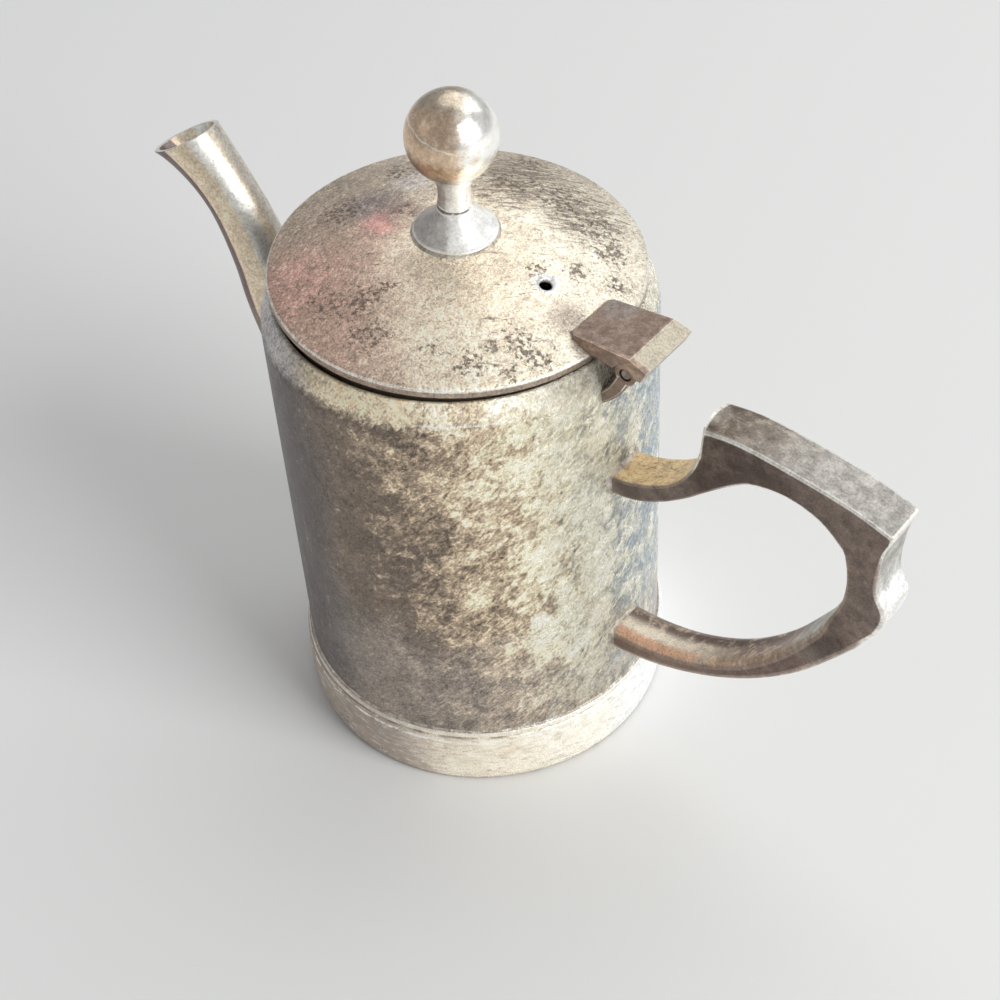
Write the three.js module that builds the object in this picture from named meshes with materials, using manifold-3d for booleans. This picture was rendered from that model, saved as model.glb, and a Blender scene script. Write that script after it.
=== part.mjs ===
// A small lidded creamer of worn silver plate: cylinder body, tube spout, cast handle, hinged domed lid.
// Millimetres, +Z up. The origin is on the body's axis on the table; +X points to the handle and the hinge.
import * as THREE from 'three';
import { mergeVertices, toCreasedNormals } from 'three/addons/utils/BufferGeometryUtils.js';
import Module from 'manifold-3d';

const wasm = await Module();
wasm.setup();

// Clearances and small edges
const SEAT_GAP = 0.25; // a soldered or seated piece to what it sits on
const RUNNING_GAP = 0.3; // hinge pieces that turn past each other
const BEZEL_CLEARANCE = 0.5; // lid ring to the inside of the mouth
const SCREW_CLEARANCE = 0.2; // stud to the holes that it passes through
const SOFT_EDGE = 0.2; // width of the small bevels on thin edges

// Body, base and foot
const BODY_RADIUS = 35; // outside, just under the shoulder
const BODY_SPREAD = 0.2; // how much wider the body is at the table
const BODY_WALL = 1;
const RIM_HEIGHT = 95.6; // top of the mouth above the table
const SHOULDER_HEIGHT = 6.3;
const BASE_RECESS = 0.8; // underside of the base plate above the table
const BASE_THICKNESS = 1;
const BASE_JOGGLE = 0.15; // how far the base plate's rim is set up from its middle
const FOOT_OVERHANG = 1.1; // foot band outside the body, where it is widest
const FOOT_DRAW_IN = 0.6; // how far the band curves in to its two edges
const FOOT_HEIGHT = 13.8;
const FOOT_LEDGE_WIDTH = 2.4;

// Spout
const SPOUT_ROOT_HEIGHT = 54;
const SPOUT_REACH = 33.5; // from the body's wall to the end of the middle line
const SPOUT_RISE = 48.6;
const SPOUT_ROOT_RADIUS = 7.2;
const SPOUT_WAIST_RADIUS = 5.15;
const SPOUT_MOUTH_RADIUS = 7.1;
const SPOUT_WAIST_AT = 0.72; // where it is thinnest, as a fraction of its length
const SPOUT_FLARE = 2.2; // how late it widens to the mouth
const SPOUT_MOUTH_OUT = 0.925; // middle of the mouth, as fractions of the reach and the rise
const SPOUT_MOUTH_UP = 0.936;
const SPOUT_WALL = 0.9;
const SPOUT_MOUTH_TILT = 0.5; // radians between the mouth's plane and the table

// Handle
const HANDLE_LOW_HEIGHT = 28; // middle of the lower root above the table
const HANDLE_REACH = 54; // from the body's wall to the heel
const HANDLE_RISE = 63.8; // from the lower root to the top of the bar
const HANDLE_HALF_WIDTH = 4.2;
const HANDLE_CROWN = 1.1; // how much the bar's inner end is crowned across
const HANDLE_EDGE = 0.5; // rounding of the flat-sided stretches
const HANDLE_HEEL_EDGE = 0.8;
const HANDLE_ARM_EDGE = 2.2; // rounding of the lower arm

// Lid
const LID_RADIUS = 32.8;
const LID_OVERHANG = 0.1; // lid's edge outside the rim of the mouth
const LID_EDGE_HEIGHT = 1.6;
const LID_SHEET = 0.9;
const DOME_RISE = 7.1;
const BEZEL_DEPTH = 3.6; // how far the ring hangs below the lid's edge
const BEZEL_WALL = 0.9;
const VENT_RADIUS = 1.1;
const VENT_DIMPLE_RADIUS = 1.9;
const VENT_DIMPLE_DEPTH = 0.5;
const VENT_FROM_AXIS = 19.2;
const LID_REST_ANGLE = 2.2; // degrees that the lid stands ajar

// Hinge, measured from the pin's axis
const PIN_RADIUS = 0.95;
const PIN_OUTSIDE_WALL = 4.4;
const PIN_ABOVE_RIM = 1.3;
const EYE_RADIUS = 2;
const BRACKET_HALF_WIDTH = 5.7;
const BRACKET_REACH = 7; // from the strap's root to the pin
const BRACKET_RISE = 9.2;
const BRACKET_ROOT_THICKNESS = 2;
const BRACKET_SWELL = 0.8; // how much thicker the strap is at the eye
const KNUCKLE_HALF_WIDTH = 2.9;
const LEAF_INNER_HALF_WIDTH = 5.6;
const LEAF_OUTER_HALF_WIDTH = 6.5;
const LEAF_REACH_IN = 11.5;
const LEAF_REACH_OUT = 4.5;
const LEAF_UNDERSIDE = 0.8;
const LEAF_TIP_TOP = 3; // top of the leaf at its inner end
const LEAF_CREST_TOP = 4.3;
const LEAF_HEEL_TOP = 3.2; // top of the leaf's outer edge
const LEAF_BEVEL_WIDTH = 3.4; // from the outer edge in to the crest
const LEAF_HEEL_SLOPE = 1.1; // how far the outer face leans out
const LEAF_CORNER = 1;

// Knob and its fixing
const KNOB_BASE_RADIUS = 7.35;
const KNOB_BASE_RISE = 5.1; // height of the flared foot above the dome
const KNOB_BASE_EDGE = 0.5;
const KNOB_BASE_FLARE = 1.4; // 1 is a plain cone, more is hollower
const NECK_RADIUS = 2.95;
const NECK_WAIST_RADIUS = 2.75;
const NECK_TOP_RADIUS = 3.65;
const NECK_WAIST_AT = 0.4; // height of the waist, as a fraction of the neck
const NECK_SEAM = 0.15; // joint line between the neck and the flared foot
const BALL_RADIUS = 7.85;
const BALL_ABOVE_BASE = 13.65; // ball's centre above the top of the flared foot
const STUD_RADIUS = 1.4;
const STUD_INTO_BALL = 9;
const STUD_BELOW_NUT = 0.8;
const WASHER_RADIUS = 4;
const WASHER_THICKNESS = 0.8;
const NUT_ACROSS_FLATS = 5.5;
const NUT_THICKNESS = 2.4;

// Facets
const ROUND_SEGMENTS = 64;
const SHOULDER_STEPS = 5;
const SMALL_SEGMENTS = 20;
const KNOB_SEGMENTS = 32;
const CORNER_STEPS = 2;

// Heights and places that follow from the sizes
const RIM_RADIUS = LID_RADIUS - LID_OVERHANG;
const SHOULDER_Z = RIM_HEIGHT - SHOULDER_HEIGHT;
const BASE_RIM_UNDERSIDE = BASE_RECESS + BASE_JOGGLE;
const BASE_TOP = BASE_RECESS + BASE_THICKNESS;
const FOOT_LEDGE_TOP = BASE_RIM_UNDERSIDE - SEAT_GAP;
const SHELL_BOTTOM = BASE_TOP + SEAT_GAP;
const LID_SEAT = RIM_HEIGHT + RUNNING_GAP;
const DOME_FOOT = LID_SEAT + LID_EDGE_HEIGHT;
const PIN_X = BODY_RADIUS + PIN_OUTSIDE_WALL;
const PIN_Z = RIM_HEIGHT + PIN_ABOVE_RIM;
const KNOB_BASE_TOP = domeHeight(0) + KNOB_BASE_RISE;
const BALL_Z = KNOB_BASE_TOP + BALL_ABOVE_BASE;
const STUD_HOLE = STUD_RADIUS + SCREW_CLEARANCE;
const WASHER_TOP = domeHeight(WASHER_RADIUS) - LID_SHEET - SEAT_GAP;
const NUT_TOP = WASHER_TOP - WASHER_THICKNESS - SEAT_GAP;

// Outer radius of the body at a height: a faint taper, then a convex shoulder up to the rim.
function bodyRadius(z) {
  const spread = BODY_SPREAD * (1 - Math.min(z, SHOULDER_Z) / SHOULDER_Z);
  const shoulder = Math.max(0, z - SHOULDER_Z) / SHOULDER_HEIGHT;
  return BODY_RADIUS + spread - (BODY_RADIUS - RIM_RADIUS) * shoulder ** 2;
}

// Height of the lid's top surface at a distance from its axis, with the lid shut.
function domeHeight(r) {
  return DOME_FOOT + DOME_RISE * (1 - (r / LID_RADIUS) ** 2);
}

// Evenly spaced numbers from a to b, both included.
function steps(a, b, count) {
  return Array.from({ length: count + 1 }, (_, i) => a + ((b - a) * i) / count);
}

// A solid of revolution about Z from [radius, height] points, listed up the outside.
function revolve(profile, segments = ROUND_SEGMENTS) {
  const points = profile.map(([r, z]) => new THREE.Vector2(r, z));
  return new THREE.LatheGeometry(points, segments).rotateX(Math.PI / 2);
}

// A ring about Z: its profile closes on itself.
function revolveRing(profile, segments = ROUND_SEGMENTS) {
  return revolve([...profile, profile[0]], segments);
}

// A cylinder along Y through a point of the XZ plane.
function crossCylinder(radius, fromY, toY, x, z) {
  const cylinder = new THREE.CylinderGeometry(radius, radius, toY - fromY, SMALL_SEGMENTS);
  return cylinder.translate(x, (fromY + toY) / 2, z);
}

// An outline of the XZ plane made thick in Y, from -halfWidth to +halfWidth.
function extrudeSide(outline, halfWidth) {
  const shape = new THREE.Shape(outline.map(([x, z]) => new THREE.Vector2(x, z)));
  const plate = new THREE.ExtrudeGeometry(shape, { depth: 2 * halfWidth, bevelEnabled: false });
  return plate.rotateX(Math.PI / 2).translate(0, halfWidth, 0);
}

// A closed skin through rings with equal numbers of points, with a flat cap at each end.
function loft(rings) {
  const size = rings[0].length;
  const last = rings.length - 1;
  const positions = rings.flat().flatMap((point) => point.toArray());
  const index = [];
  for (let ring = 0; ring < last; ring += 1) {
    for (let j = 0; j < size; j += 1) {
      const a = ring * size + j;
      const b = ring * size + ((j + 1) % size);
      index.push(a, b, b + size, a, b + size, a + size);
    }
  }
  for (const [ring, flip] of [[0, true], [last, false]]) {
    const middle = positions.length / 3;
    const centre = new THREE.Vector3();
    rings[ring].forEach((point) => centre.addScaledVector(point, 1 / size));
    positions.push(...centre.toArray());
    for (let j = 0; j < size; j += 1) {
      const a = ring * size + j;
      const b = ring * size + ((j + 1) % size);
      index.push(middle, flip ? b : a, flip ? a : b);
    }
  }
  const geometry = new THREE.BufferGeometry();
  geometry.setAttribute('position', new THREE.Float32BufferAttribute(positions, 3));
  geometry.setIndex(index);
  return geometry;
}

// A three.js geometry as a solid that can be joined and cut.
function solidOf(geometry) {
  const bare = geometry.clone();
  bare.deleteAttribute('normal');
  bare.deleteAttribute('uv');
  const merged = mergeVertices(bare, 1e-3);
  const mesh = new wasm.Mesh({
    numProp: 3,
    vertProperties: merged.attributes.position.array,
    triVerts: new Uint32Array(merged.index.array),
  });
  return new wasm.Manifold(mesh);
}

function geometryOf(solid) {
  const mesh = solid.getMesh();
  const geometry = new THREE.BufferGeometry();
  geometry.setAttribute('position', new THREE.BufferAttribute(mesh.vertProperties, 3));
  geometry.setIndex(new THREE.BufferAttribute(mesh.triVerts, 1));
  return toCreasedNormals(geometry, 0.5);
}

function cut(geometry, ...tools) {
  return geometryOf(tools.reduce((left, tool) => left.subtract(solidOf(tool)), solidOf(geometry)));
}

// Everything inside the body's outer surface and a seat gap round it.
function bodyEnvelope() {
  const heights = [0, ...steps(SHOULDER_Z, RIM_HEIGHT, SHOULDER_STEPS)];
  const wall = heights.map((z) => [bodyRadius(z) + SEAT_GAP, z]);
  return revolve([[0, 0], ...wall, [0, RIM_HEIGHT]]);
}

// Points beside the body, given as fractions of a reach from its wall and of a rise above a root.
function besideBody(points, reach, rise, rootHeight) {
  return points.map(([out, up]) => [BODY_RADIUS + out * reach, rootHeight + up * rise]);
}

// The spout's middle line, from inside the body to past its mouth.
function spoutLine() {
  const points = besideBody([
    [-0.209, -0.058], [0.075, 0.025], [0.248, 0.154], [0.367, 0.329], [0.445, 0.514],
    [0.549, 0.679], [0.687, 0.815], [0.887, 0.94], [1.009, 0.992],
  ], SPOUT_REACH, SPOUT_RISE, SPOUT_ROOT_HEIGHT);
  const placed = points.map(([x, z]) => new THREE.Vector3(-x, 0, z));
  return new THREE.CatmullRomCurve3(placed, false, 'centripetal');
}

function spoutRadius(t) {
  if (t < SPOUT_WAIST_AT) {
    const s = 1 - t / SPOUT_WAIST_AT;
    return SPOUT_WAIST_RADIUS + (SPOUT_ROOT_RADIUS - SPOUT_WAIST_RADIUS) * s;
  }
  const s = (t - SPOUT_WAIST_AT) / (1 - SPOUT_WAIST_AT);
  return SPOUT_WAIST_RADIUS + (SPOUT_MOUTH_RADIUS - SPOUT_WAIST_RADIUS) * s ** SPOUT_FLARE;
}

// A tapered rod along the spout's line, smaller than its outside by the given wall.
function spoutRod(wall) {
  const line = spoutLine();
  const sideways = new THREE.Vector3(0, 1, 0);
  const rings = steps(0, 1, 18).map((t) => {
    const centre = line.getPointAt(t);
    const across = new THREE.Vector3().crossVectors(line.getTangentAt(t), sideways);
    const radius = spoutRadius(t) - wall;
    return steps(0, 2 * Math.PI, SMALL_SEGMENTS).slice(0, -1).map((angle) => centre.clone()
      .addScaledVector(sideways, radius * Math.cos(angle))
      .addScaledVector(across, radius * Math.sin(angle)));
  });
  return loft(rings);
}

// A block that takes off everything past the oblique mouth of the spout.
function mouthCutter() {
  const side = 6 * SPOUT_MOUTH_RADIUS;
  const depth = 3 * SPOUT_MOUTH_RADIUS;
  const mouthX = -BODY_RADIUS - SPOUT_MOUTH_OUT * SPOUT_REACH;
  const mouthZ = SPOUT_ROOT_HEIGHT + SPOUT_MOUTH_UP * SPOUT_RISE;
  const block = new THREE.BoxGeometry(side, side, depth).translate(0, 0, depth / 2);
  return block.rotateY(-SPOUT_MOUTH_TILT).translate(mouthX, 0, mouthZ);
}

function spoutTube() {
  return cut(spoutRod(0), bodyEnvelope(), spoutRod(SPOUT_WALL), mouthCutter());
}

function bodyShell() {
  const heights = [SHELL_BOTTOM, ...steps(SHOULDER_Z, RIM_HEIGHT, SHOULDER_STEPS)];
  const outside = heights.map((z) => [bodyRadius(z), z]);
  const inside = heights.map((z) => [bodyRadius(z) - BODY_WALL, z]).reverse();
  return cut(revolveRing([...outside, ...inside]), spoutRod(SPOUT_WALL));
}

// The base plate's rim is set up a little from its middle, to lie on the foot's ledge.
function basePlate() {
  const radius = bodyRadius(0);
  const middle = radius + SEAT_GAP - FOOT_LEDGE_WIDTH - BEZEL_CLEARANCE;
  return revolve([
    [0, BASE_RECESS], [middle, BASE_RECESS], [middle + SOFT_EDGE, BASE_RIM_UNDERSIDE],
    [radius, BASE_RIM_UNDERSIDE], [radius, BASE_TOP], [0, BASE_TOP],
  ]);
}

// The foot band curves in to its upper edge on the body and to its lower edge on the table.
function footRing() {
  const inner = bodyRadius(0) + SEAT_GAP;
  const widest = bodyRadius(0) + FOOT_OVERHANG;
  const ledge = inner - FOOT_LEDGE_WIDTH;
  const band = steps(0, 1, 8).map((s) => [
    widest - FOOT_DRAW_IN * (2 * s - 1) ** 4,
    (FOOT_HEIGHT - SOFT_EDGE) * s,
  ]);
  return revolveRing([
    [ledge, 0], ...band, [inner, FOOT_HEIGHT], [inner, FOOT_LEDGE_TOP], [ledge, FOOT_LEDGE_TOP],
  ]);
}

// A box section with rounded corners, as [sideways, outward] points, with its outer side crowned.
function roundedSection(halfWide, halfHigh, edge, crown) {
  const edgeWide = Math.min(edge, 0.95 * halfWide);
  const edgeHigh = Math.min(edge, 0.95 * halfHigh);
  const signs = [[1, 1], [-1, 1], [-1, -1], [1, -1]];
  const corners = signs.map(([wide, high], corner) => steps(0, 1, CORNER_STEPS).map((s) => {
    const angle = ((corner + s) * Math.PI) / 2;
    return [
      wide * (halfWide - edgeWide) + edgeWide * Math.cos(angle),
      high * (halfHigh - edgeHigh) + edgeHigh * Math.sin(angle),
    ];
  }));
  corners[0].push([0, halfHigh + crown]);
  return corners.flat();
}

// A bar with a rounded box section between an outer and an inner line of the XZ plane.
function barBetween(stations, halfWidth) {
  return loft(stations.map(({ outer, inner, edge, crown = 0 }) => {
    const across = new THREE.Vector2().subVectors(outer, inner);
    const middle = new THREE.Vector2().addVectors(outer, inner).multiplyScalar(0.5);
    const halfHigh = across.length() / 2;
    across.normalize();
    return roundedSection(halfWidth, halfHigh, edge, crown).map(([wide, high]) => new THREE.Vector3(
      middle.x + across.x * high,
      wide,
      middle.y + across.y * high,
    ));
  }));
}

// Stations of one stretch of the handle: a smooth line through its outer points and one through its inner.
// Points are fractions of the handle's reach and rise; crownAt gives the crown along the stretch.
function handleStretch(outerPoints, innerPoints, count, edgeFrom, edgeTo, crownAt = () => 0) {
  const [outer, inner] = [outerPoints, innerPoints].map((points) => new THREE.SplineCurve(
    besideBody(points, HANDLE_REACH, HANDLE_RISE, HANDLE_LOW_HEIGHT)
      .map(([x, z]) => new THREE.Vector2(x, z)),
  ));
  return steps(0, 1, count).map((t) => ({
    outer: outer.getPoint(t),
    inner: inner.getPoint(t),
    edge: edgeFrom + (edgeTo - edgeFrom) * t,
    crown: HANDLE_CROWN * crownAt(t),
  }));
}

function handle() {
  const shelf = handleStretch(
    [
      [-0.056, 0.665], [0.056, 0.674], [0.154, 0.706], [0.23, 0.746], [0.276, 0.792],
      [0.311, 0.844], [0.333, 0.901],
    ],
    [
      [-0.056, 0.599], [0.093, 0.619], [0.2, 0.665], [0.289, 0.721], [0.344, 0.765],
      [0.389, 0.8], [0.419, 0.821],
    ],
    10, HANDLE_EDGE, HANDLE_EDGE, (t) => t ** 4,
  );
  const bar = handleStretch(
    [[0.343, 0.987], [0.472, 1], [0.667, 0.986], [0.852, 0.963], [0.989, 0.928]],
    [[0.441, 0.837], [0.519, 0.88], [0.639, 0.897], [0.75, 0.872], [0.833, 0.813]],
    10, HANDLE_EDGE, HANDLE_EDGE, (t) => (1 - t) ** 3,
  );
  const heel = handleStretch(
    [[0.991, 0.914], [0.967, 0.85], [0.959, 0.729], [1, 0.649], [0.98, 0.574]],
    [[0.844, 0.796], [0.856, 0.749], [0.859, 0.695], [0.852, 0.63], [0.826, 0.569]],
    8, HANDLE_EDGE, HANDLE_HEEL_EDGE,
  );
  const arm = handleStretch(
    [
      [0.907, 0.464], [0.743, 0.279], [0.561, 0.136], [0.365, 0.034], [0.156, -0.031],
      [-0.056, -0.053],
    ],
    [
      [0.776, 0.468], [0.644, 0.304], [0.485, 0.172], [0.304, 0.087], [0.13, 0.052],
      [-0.056, 0.047],
    ],
    12, (HANDLE_HEEL_EDGE + HANDLE_ARM_EDGE) / 2, HANDLE_ARM_EDGE,
  );
  return cut(barBetween([...shelf, ...bar, ...heel, ...arm], HANDLE_HALF_WIDTH), bodyEnvelope());
}

// The bracket's strap swells from its root on the shoulder to the eye round the pin.
function hingeBracket() {
  const line = new THREE.SplineCurve(
    [[-1, -1], [-0.629, -0.75], [-0.343, -0.511], [-0.157, -0.261], [0, 0]].map(
      ([along, up]) => new THREE.Vector2(along * BRACKET_REACH + PIN_X, up * BRACKET_RISE + PIN_Z),
    ),
  );
  const stations = steps(0, 1, 8).map((t) => {
    const middle = line.getPoint(t);
    const along = line.getTangent(t);
    const half = (BRACKET_ROOT_THICKNESS + BRACKET_SWELL * t) / 2;
    const across = new THREE.Vector2(-along.y, along.x).multiplyScalar(half);
    return {
      outer: middle.clone().add(across),
      inner: middle.clone().sub(across),
      edge: 2 * SOFT_EDGE,
    };
  });
  const eye = crossCylinder(EYE_RADIUS, -BRACKET_HALF_WIDTH, BRACKET_HALF_WIDTH, PIN_X, PIN_Z);
  const strap = solidOf(barBetween(stations, BRACKET_HALF_WIDTH)).add(solidOf(eye));
  const slotHalf = KNUCKLE_HALF_WIDTH + RUNNING_GAP;
  const slot = crossCylinder(EYE_RADIUS + RUNNING_GAP, -slotHalf, slotHalf, PIN_X, PIN_Z);
  return cut(geometryOf(strap), slot, pinHole(PIN_X, PIN_Z), bodyEnvelope());
}

function pinHole(x, z) {
  const reach = 1.2 * BRACKET_HALF_WIDTH;
  return crossCylinder(PIN_RADIUS + SEAT_GAP, -reach, reach, x, z);
}

function hingePin() {
  const half = BRACKET_HALF_WIDTH - SOFT_EDGE / 2;
  return crossCylinder(PIN_RADIUS, -half, half, PIN_X, PIN_Z);
}

// The lid's outer surface with a seat gap over it, measured from the pin.
function lidEnvelope() {
  const dome = steps(LID_RADIUS, 0, 8).map((r) => [r, domeHeight(r) + SEAT_GAP]);
  const edge = LID_RADIUS + SEAT_GAP;
  const below = LID_SEAT - LID_EDGE_HEIGHT;
  return revolve([[0, below], [edge, below], [edge, DOME_FOOT + SEAT_GAP], ...dome])
    .translate(-PIN_X, 0, -PIN_Z);
}

// The leaf, measured from the pin: a wedge-topped plate with a bevelled end, and the middle knuckle.
function hingeLeaf() {
  const side = extrudeSide([
    [-LEAF_REACH_IN, LEAF_UNDERSIDE], [LEAF_REACH_OUT - LEAF_HEEL_SLOPE, LEAF_UNDERSIDE],
    [LEAF_REACH_OUT, LEAF_HEEL_TOP], [LEAF_REACH_OUT - LEAF_BEVEL_WIDTH, LEAF_CREST_TOP],
    [-LEAF_REACH_IN + 2 * SOFT_EDGE, LEAF_TIP_TOP], [-LEAF_REACH_IN, LEAF_TIP_TOP - 1.5 * SOFT_EDGE],
  ], LEAF_OUTER_HALF_WIDTH + LEAF_CORNER);
  const plan = new THREE.Shape([
    [-LEAF_REACH_IN, LEAF_CORNER - LEAF_INNER_HALF_WIDTH],
    [LEAF_CORNER - LEAF_REACH_IN, -LEAF_INNER_HALF_WIDTH],
    [LEAF_REACH_OUT, -LEAF_OUTER_HALF_WIDTH],
    [LEAF_REACH_OUT, LEAF_OUTER_HALF_WIDTH],
    [LEAF_CORNER - LEAF_REACH_IN, LEAF_INNER_HALF_WIDTH],
    [-LEAF_REACH_IN, LEAF_INNER_HALF_WIDTH - LEAF_CORNER],
  ].map(([x, y]) => new THREE.Vector2(x, y)));
  const tall = 3 * LEAF_CREST_TOP;
  const column = new THREE.ExtrudeGeometry(plan, { depth: tall, bevelEnabled: false })
    .translate(0, 0, -tall / 2);
  const knuckle = crossCylinder(EYE_RADIUS, -KNUCKLE_HALF_WIDTH, KNUCKLE_HALF_WIDTH, 0, 0);
  const plate = solidOf(side).intersect(solidOf(column));
  const arches = [1, -1].map((hand) => {
    const past = LEAF_OUTER_HALF_WIDTH + LEAF_CORNER;
    const ends = [hand * KNUCKLE_HALF_WIDTH, hand * past].sort((a, b) => a - b);
    return crossCylinder(EYE_RADIUS + RUNNING_GAP, ...ends, 0, 0);
  });
  const notched = solidOf(cut(geometryOf(plate), ...arches));
  return cut(geometryOf(notched.add(solidOf(knuckle))), lidEnvelope(), pinHole(0, 0));
}

function lidCover() {
  const skin = (r) => [r, domeHeight(r)];
  const under = (r) => [r, domeHeight(r) - LID_SHEET];
  const lipRadius = LID_RADIUS - LID_SHEET;
  const cover = revolveRing([
    [lipRadius, LID_SEAT], [LID_RADIUS - SOFT_EDGE, LID_SEAT], [LID_RADIUS, LID_SEAT + SOFT_EDGE],
    [LID_RADIUS, DOME_FOOT - SOFT_EDGE],
    ...steps(LID_RADIUS - 1.5 * SOFT_EDGE, STUD_HOLE, 7).map(skin),
    ...steps(STUD_HOLE, lipRadius, 6).map(under),
  ]);
  const ventTop = domeHeight(VENT_FROM_AXIS);
  const vent = new THREE.CylinderGeometry(VENT_RADIUS, VENT_RADIUS, DOME_RISE, SMALL_SEGMENTS);
  const dimple = new THREE.CylinderGeometry(
    VENT_DIMPLE_RADIUS, VENT_RADIUS, 2 * VENT_DIMPLE_DEPTH, SMALL_SEGMENTS,
  );
  return cut(cover, ...[vent, dimple].map(
    (tool) => tool.rotateX(Math.PI / 2).translate(VENT_FROM_AXIS, 0, ventTop),
  ));
}

// The ring under the lid, which clears the narrowest part of the mouth that it reaches into.
function lidBezel() {
  const bottom = LID_SEAT - BEZEL_DEPTH;
  const outer = Math.min(RIM_RADIUS, bodyRadius(bottom)) - BODY_WALL - BEZEL_CLEARANCE;
  const inner = outer - BEZEL_WALL;
  const top = domeHeight(outer) - LID_SHEET - SEAT_GAP;
  return revolveRing([[inner, bottom], [outer, bottom], [outer, top], [inner, top]]);
}

// The flared foot of the knob: hollow under, to follow the dome, and bored for the stud.
function knobBase() {
  const seat = (r) => [r, domeHeight(r) + SEAT_GAP];
  const rimZ = domeHeight(KNOB_BASE_RADIUS) + SEAT_GAP + KNOB_BASE_EDGE;
  const flareWidth = KNOB_BASE_RADIUS - SOFT_EDGE - NECK_RADIUS;
  const flare = steps(0, 1, 7).map((s) => [
    NECK_RADIUS + flareWidth * (1 - s) ** KNOB_BASE_FLARE,
    rimZ + (KNOB_BASE_TOP - rimZ) * s,
  ]);
  return revolveRing([
    seat(STUD_HOLE), seat(KNOB_BASE_RADIUS), [KNOB_BASE_RADIUS, rimZ - SOFT_EDGE], ...flare,
    [STUD_HOLE, KNOB_BASE_TOP],
  ], KNOB_SEGMENTS);
}

// The neck's radius from its foot, at 0, to the ball, at 1.
function neckRadius(s) {
  const below = Math.max(0, 1 - s / NECK_WAIST_AT) ** 2;
  const above = Math.max(0, (s - NECK_WAIST_AT) / (1 - NECK_WAIST_AT)) ** 2;
  const swell = (NECK_RADIUS - NECK_WAIST_RADIUS) * below + (NECK_TOP_RADIUS - NECK_WAIST_RADIUS) * above;
  return NECK_WAIST_RADIUS + swell;
}

function knobBall() {
  const boreTop = KNOB_BASE_TOP + STUD_INTO_BALL;
  const bottom = KNOB_BASE_TOP + NECK_SEAM;
  const start = Math.asin(NECK_TOP_RADIUS / BALL_RADIUS);
  const neckFoot = bottom + SOFT_EDGE;
  const neckTop = BALL_Z - BALL_RADIUS * Math.cos(start);
  const neck = steps(0, 0.8, 4).map((s) => [neckRadius(s), neckFoot + (neckTop - neckFoot) * s]);
  const ball = steps(start, Math.PI, 10).map((angle) => [
    BALL_RADIUS * Math.sin(angle),
    BALL_Z - BALL_RADIUS * Math.cos(angle),
  ]);
  ball[ball.length - 1][0] = 0;
  return revolve([
    [0, boreTop], [STUD_HOLE, boreTop], [STUD_HOLE, bottom], [NECK_RADIUS - SOFT_EDGE / 2, bottom],
    ...neck, ...ball,
  ], KNOB_SEGMENTS);
}

function knobStud() {
  const top = KNOB_BASE_TOP + STUD_INTO_BALL - SEAT_GAP;
  const bottom = NUT_TOP - NUT_THICKNESS - STUD_BELOW_NUT;
  return revolve([[0, bottom], [STUD_RADIUS, bottom], [STUD_RADIUS, top], [0, top]], SMALL_SEGMENTS);
}

function knobWasher() {
  const bottom = WASHER_TOP - WASHER_THICKNESS;
  return revolveRing([
    [STUD_HOLE, bottom], [WASHER_RADIUS, bottom], [WASHER_RADIUS, WASHER_TOP], [STUD_HOLE, WASHER_TOP],
  ], SMALL_SEGMENTS);
}

function knobNut() {
  const corner = NUT_ACROSS_FLATS / Math.sqrt(3);
  const hexagon = new THREE.Shape(steps(0, 5, 5).map((k) => new THREE.Vector2(
    corner * Math.cos((k * Math.PI) / 3),
    corner * Math.sin((k * Math.PI) / 3),
  )));
  hexagon.holes.push(new THREE.Path().absarc(0, 0, STUD_HOLE, 0, 2 * Math.PI));
  const settings = { depth: NUT_THICKNESS, bevelEnabled: false, curveSegments: SMALL_SEGMENTS };
  return new THREE.ExtrudeGeometry(hexagon, settings).translate(0, 0, NUT_TOP - NUT_THICKNESS);
}

// Finishes: worn plate on the sheet metal, browner castings, brighter turnings
const FINISH = {
  sheet: { color: 0xb3a592, roughness: 0.38 },
  foot: { color: 0xc2b8aa, roughness: 0.34 },
  spout: { color: 0xbfae94, roughness: 0.3 },
  casting: { color: 0x8d7c70, roughness: 0.42 },
  lid: { color: 0xb09c88, roughness: 0.44 },
  turning: { color: 0xb9a899, roughness: 0.28 },
  fixing: { color: 0x8a857c, roughness: 0.5 },
};

function piece(name, geometry, finish) {
  const material = new THREE.MeshStandardMaterial({ ...FINISH[finish], metalness: 1 });
  const mesh = new THREE.Mesh(geometry, material);
  mesh.name = name;
  return mesh;
}

const pot = new THREE.Group();
pot.add(
  piece('body_shell', bodyShell(), 'sheet'),
  piece('base_plate', basePlate(), 'sheet'),
  piece('foot_ring', footRing(), 'foot'),
  piece('spout_tube', spoutTube(), 'spout'),
  piece('handle', handle(), 'casting'),
  piece('hinge_bracket', hingeBracket(), 'casting'),
  piece('hinge_pin', hingePin(), 'fixing'),
);

// The lid's pieces are modelled shut; the group turns them about the pin to where the lid stands.
const shut = new THREE.Group();
shut.position.set(-PIN_X, 0, -PIN_Z);
shut.add(
  piece('lid_cover', lidCover(), 'lid'),
  piece('lid_bezel', lidBezel(), 'lid'),
  piece('knob_base', knobBase(), 'turning'),
  piece('knob_ball', knobBall(), 'turning'),
  piece('knob_stud', knobStud(), 'fixing'),
  piece('knob_washer', knobWasher(), 'fixing'),
  piece('knob_nut', knobNut(), 'fixing'),
);
const lid = new THREE.Group();
lid.position.set(PIN_X, 0, PIN_Z);
lid.rotation.y = THREE.MathUtils.degToRad(LID_REST_ANGLE);
lid.add(shut, piece('hinge_leaf', hingeLeaf(), 'casting'));

const creamer = new THREE.Group();
creamer.add(pot, lid);

export default creamer;
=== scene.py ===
"""A worn silver-plated creamer on a plain pale floor. Pieces are made in millimetres, in the frame's axes."""
import math

import bmesh
import bpy
from mathutils import Matrix, Vector


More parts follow.
